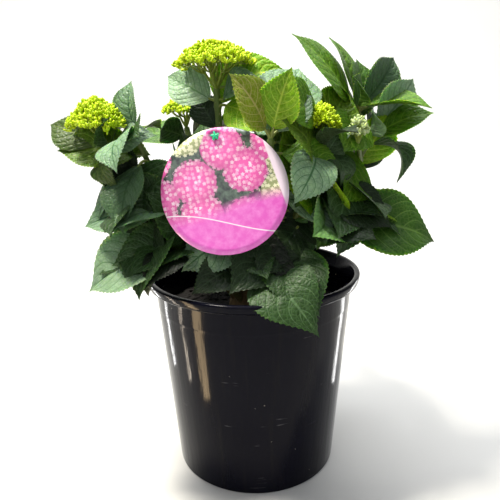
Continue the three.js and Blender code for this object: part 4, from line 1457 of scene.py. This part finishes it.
# Injection-moulded green plastic for the tie and its star, with a faint flow in the colour.
green_plastic, tree, shader = start_material("polyethylene, green, moulded", IOR=1.5, Roughness=0.35)
place = add_node(tree, "ShaderNodeTexCoord").outputs["Object"]
flow = add_node(tree, "ShaderNodeTexNoise", {"Vector": place, "Scale": 1 / (4 * MM), "Detail": 2})
tinted = add_node(tree, "ShaderNodeMix", {
    "Factor": flow.outputs["Fac"], 6: linear("#12b880"), 7: linear("#2fd8a0"),
}, data_type="RGBA")
tree.links.new(tinted.outputs[2], shader.inputs["Base Color"])

# The star: moulded on the end of the tie, a soft-cornered button that stops it in the hole.
STAR_SIDES = 60
STAR_ROUNDS = ((1.0, -0.75), (1.04, -0.2), (0.98, 0.35), (0.8, 0.7), (0.4, 0.95))
star_reach = np.abs((np.array([star_high, star_low]) / MM - star_middle) @ tag_right).max()
star_turn = np.arange(STAR_SIDES) * 2 * math.pi / STAR_SIDES
from_arm = np.abs((star_turn - math.pi / 2) / (math.pi / 5) % 2 - 1)
star_shape = star_reach * (0.24 + 0.42 * from_arm ** 1.3)
star_points = []
for share, level in STAR_ROUNDS:
    flat = np.transpose([np.cos(star_turn), np.sin(star_turn)]) * (star_shape * share)[:, None]
    star_points += (star_middle + flat @ [tag_right, tag_up] + tag_front * level * 0.8).tolist()
last = len(star_points)
star_points += [star_middle - tag_front * 0.75 * 0.8, star_middle + tag_front * 0.8]
star = new_piece("tag_star_moulded", star_points, ringed_faces(last, STAR_SIDES), green_plastic)
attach(star, "root")
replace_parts(star, "tag_star")

# The tie: from the star back through the hole, round the middle cane and back to itself behind
# the card.
middle_cane = limb_lines["cane_centre"]
at_tie = middle_cane[np.abs(middle_cane[:, 2] - star_middle[2] + 1).argmin()]
from_tag = unit((at_tie[:3] - star_middle) * [1, 1, 0])
beside_cane = np.cross(from_tag, (0, 0, 1))
tie_route = [star_middle + tag_front * 0.3, star_middle - tag_front * 5]
for degrees in range(-120, 121, 20):
    a = math.radians(degrees)
    out = from_tag * math.cos(a) + beside_cane * math.sin(a)
    tie_route.append(at_tie[:3] + out * (at_tie[3] + 1.2) + [0, 0, 0.01 * degrees])
tie_route.append(star_middle - tag_front * 5 + tag_right * 1.2)
tie_line = smooth_line(np.column_stack([tie_route, np.full(len(tie_route), 0.8)]), 0.8)
tie = strands("tag_tie_strap", [(tie_line[:, :3], tie_line[:, 3])], 10, green_plastic)
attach(tie, "root")
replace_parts(tie, "tag_tie")

# ---- Stage ----
# A pale sweep of paper in a dim studio: a bright key high on the left, nearly overhead, a big
# soft box overhead, strips that draw the pot's gloss upright, a front fill and a wash on the paper.
paper, tree, shader = start_material("studio paper, white", Roughness=0.95, IOR=1.3)
place = add_node(tree, "ShaderNodeTexCoord").outputs["Object"]
pulp = add_node(tree, "ShaderNodeTexNoise", {"Vector": place, "Scale": 1 / (300 * MM), "Detail": 2})
tone = add_node(tree, "ShaderNodeMix", {
    "Factor": pulp.outputs["Fac"], 6: linear("#c8c8c6"), 7: linear("#d2d2d0"),
}, data_type="RGBA")
tree.links.new(tone.outputs[2], shader.inputs["Base Color"])
sweep_profile = [(-1.6, 0)] + [
    (1.0 + 0.8 * math.sin(a), 0.8 - 0.8 * math.cos(a)) for a in np.linspace(0, math.pi / 2, 17)
] + [(1.8, 2.6)]
sweep_points = [(x * 1e3, y * 1e3, z * 1e3) for y, z in sweep_profile for x in (-3, 3)]
sweep_faces = [(2 * i, 2 * i + 1, 2 * i + 3, 2 * i + 2) for i in range(len(sweep_profile) - 1)]
sweep = new_piece("sweep", sweep_points, sweep_faces, paper)

world = bpy.data.worlds.new("soft light")
bpy.context.scene.world = world
world.use_nodes = True
world.node_tree.nodes["Background"].inputs["Color"].default_value = linear("#f4f8ff")
world.node_tree.nodes["Background"].inputs["Strength"].default_value = 0.3


def soft_box(name, place, aim, size, power, colour="#ffffff", gloss_only=False):
    """A flat studio light, hidden from the camera. One for gloss only adds highlights alone."""
    light = bpy.data.lights.new(name, "AREA")
    light.shape = "RECTANGLE"
    light.size, light.size_y = size
    light.energy = power
    light.color = linear(colour)[:3]
    lamp = bpy.data.objects.new(name, light)
    lamp.location = place
    lamp.rotation_euler = (Vector(aim) - Vector(place)).to_track_quat("-Z", "Y").to_euler()
    lamp.visible_camera = False
    lamp.visible_diffuse = not gloss_only
    bpy.context.scene.collection.objects.link(lamp)


soft_box("key", (-0.55, -0.05, 1.6), (0, 0, 0.28), (0.22, 0.22), 40, "#fff8ea")
soft_box("overhead", (0, 0.3, 1.7), (0, 0, 0.2), (1.6, 1.6), 12)
soft_box("left_strip", (-0.144, -0.108, 0.1), (0, 0, 0.1), (0.022, 0.19), 0.34, "#f0d0a0", True)
soft_box("left_strip_thin", (-0.172, -0.054, 0.1), (0, 0, 0.1), (0.006, 0.15), 0.11, "#ffeed8", True)
soft_box("left_edge_strip", (-0.178, 0.03, 0.11), (0, 0, 0.11), (0.006, 0.15), 0.1, "#ffffff", True)
soft_box("right_strip", (0.176, 0.038, 0.1), (0, 0, 0.1), (0.018, 0.19), 0.14, "#ffffff", True)
soft_box("front_fill", (-0.4, -1.6, 1.2), (0, 0, 0.25), (1.0, 1.0), 5)
soft_box("paper_wash", (0, 0.5, 2.2), (0, 1.7, 0.7), (2.0, 0.5), 60)
bpy.context.scene.view_settings.view_transform = "Standard"

# The camera: half a metre in front of the pot, level with the upper crown and turned a little
# down, with a slight tilt to one side.
CAMERA_LENS = 38.9
CAMERA_PLACE = (-0.0025, -0.49, 0.343)
CAMERA_PITCH = math.radians(15.4)
CAMERA_ROLL = math.radians(-1.2)
camera = bpy.data.cameras.new("camera")
camera.lens = CAMERA_LENS
eye = bpy.data.objects.new("camera", camera)
turned = Matrix.Rotation(math.pi / 2 - CAMERA_PITCH, 4, "X") @ Matrix.Rotation(CAMERA_ROLL, 4, "Z")
eye.matrix_world = Matrix.Translation(CAMERA_PLACE) @ turned
bpy.context.scene.collection.objects.link(eye)
bpy.context.scene.camera = eye
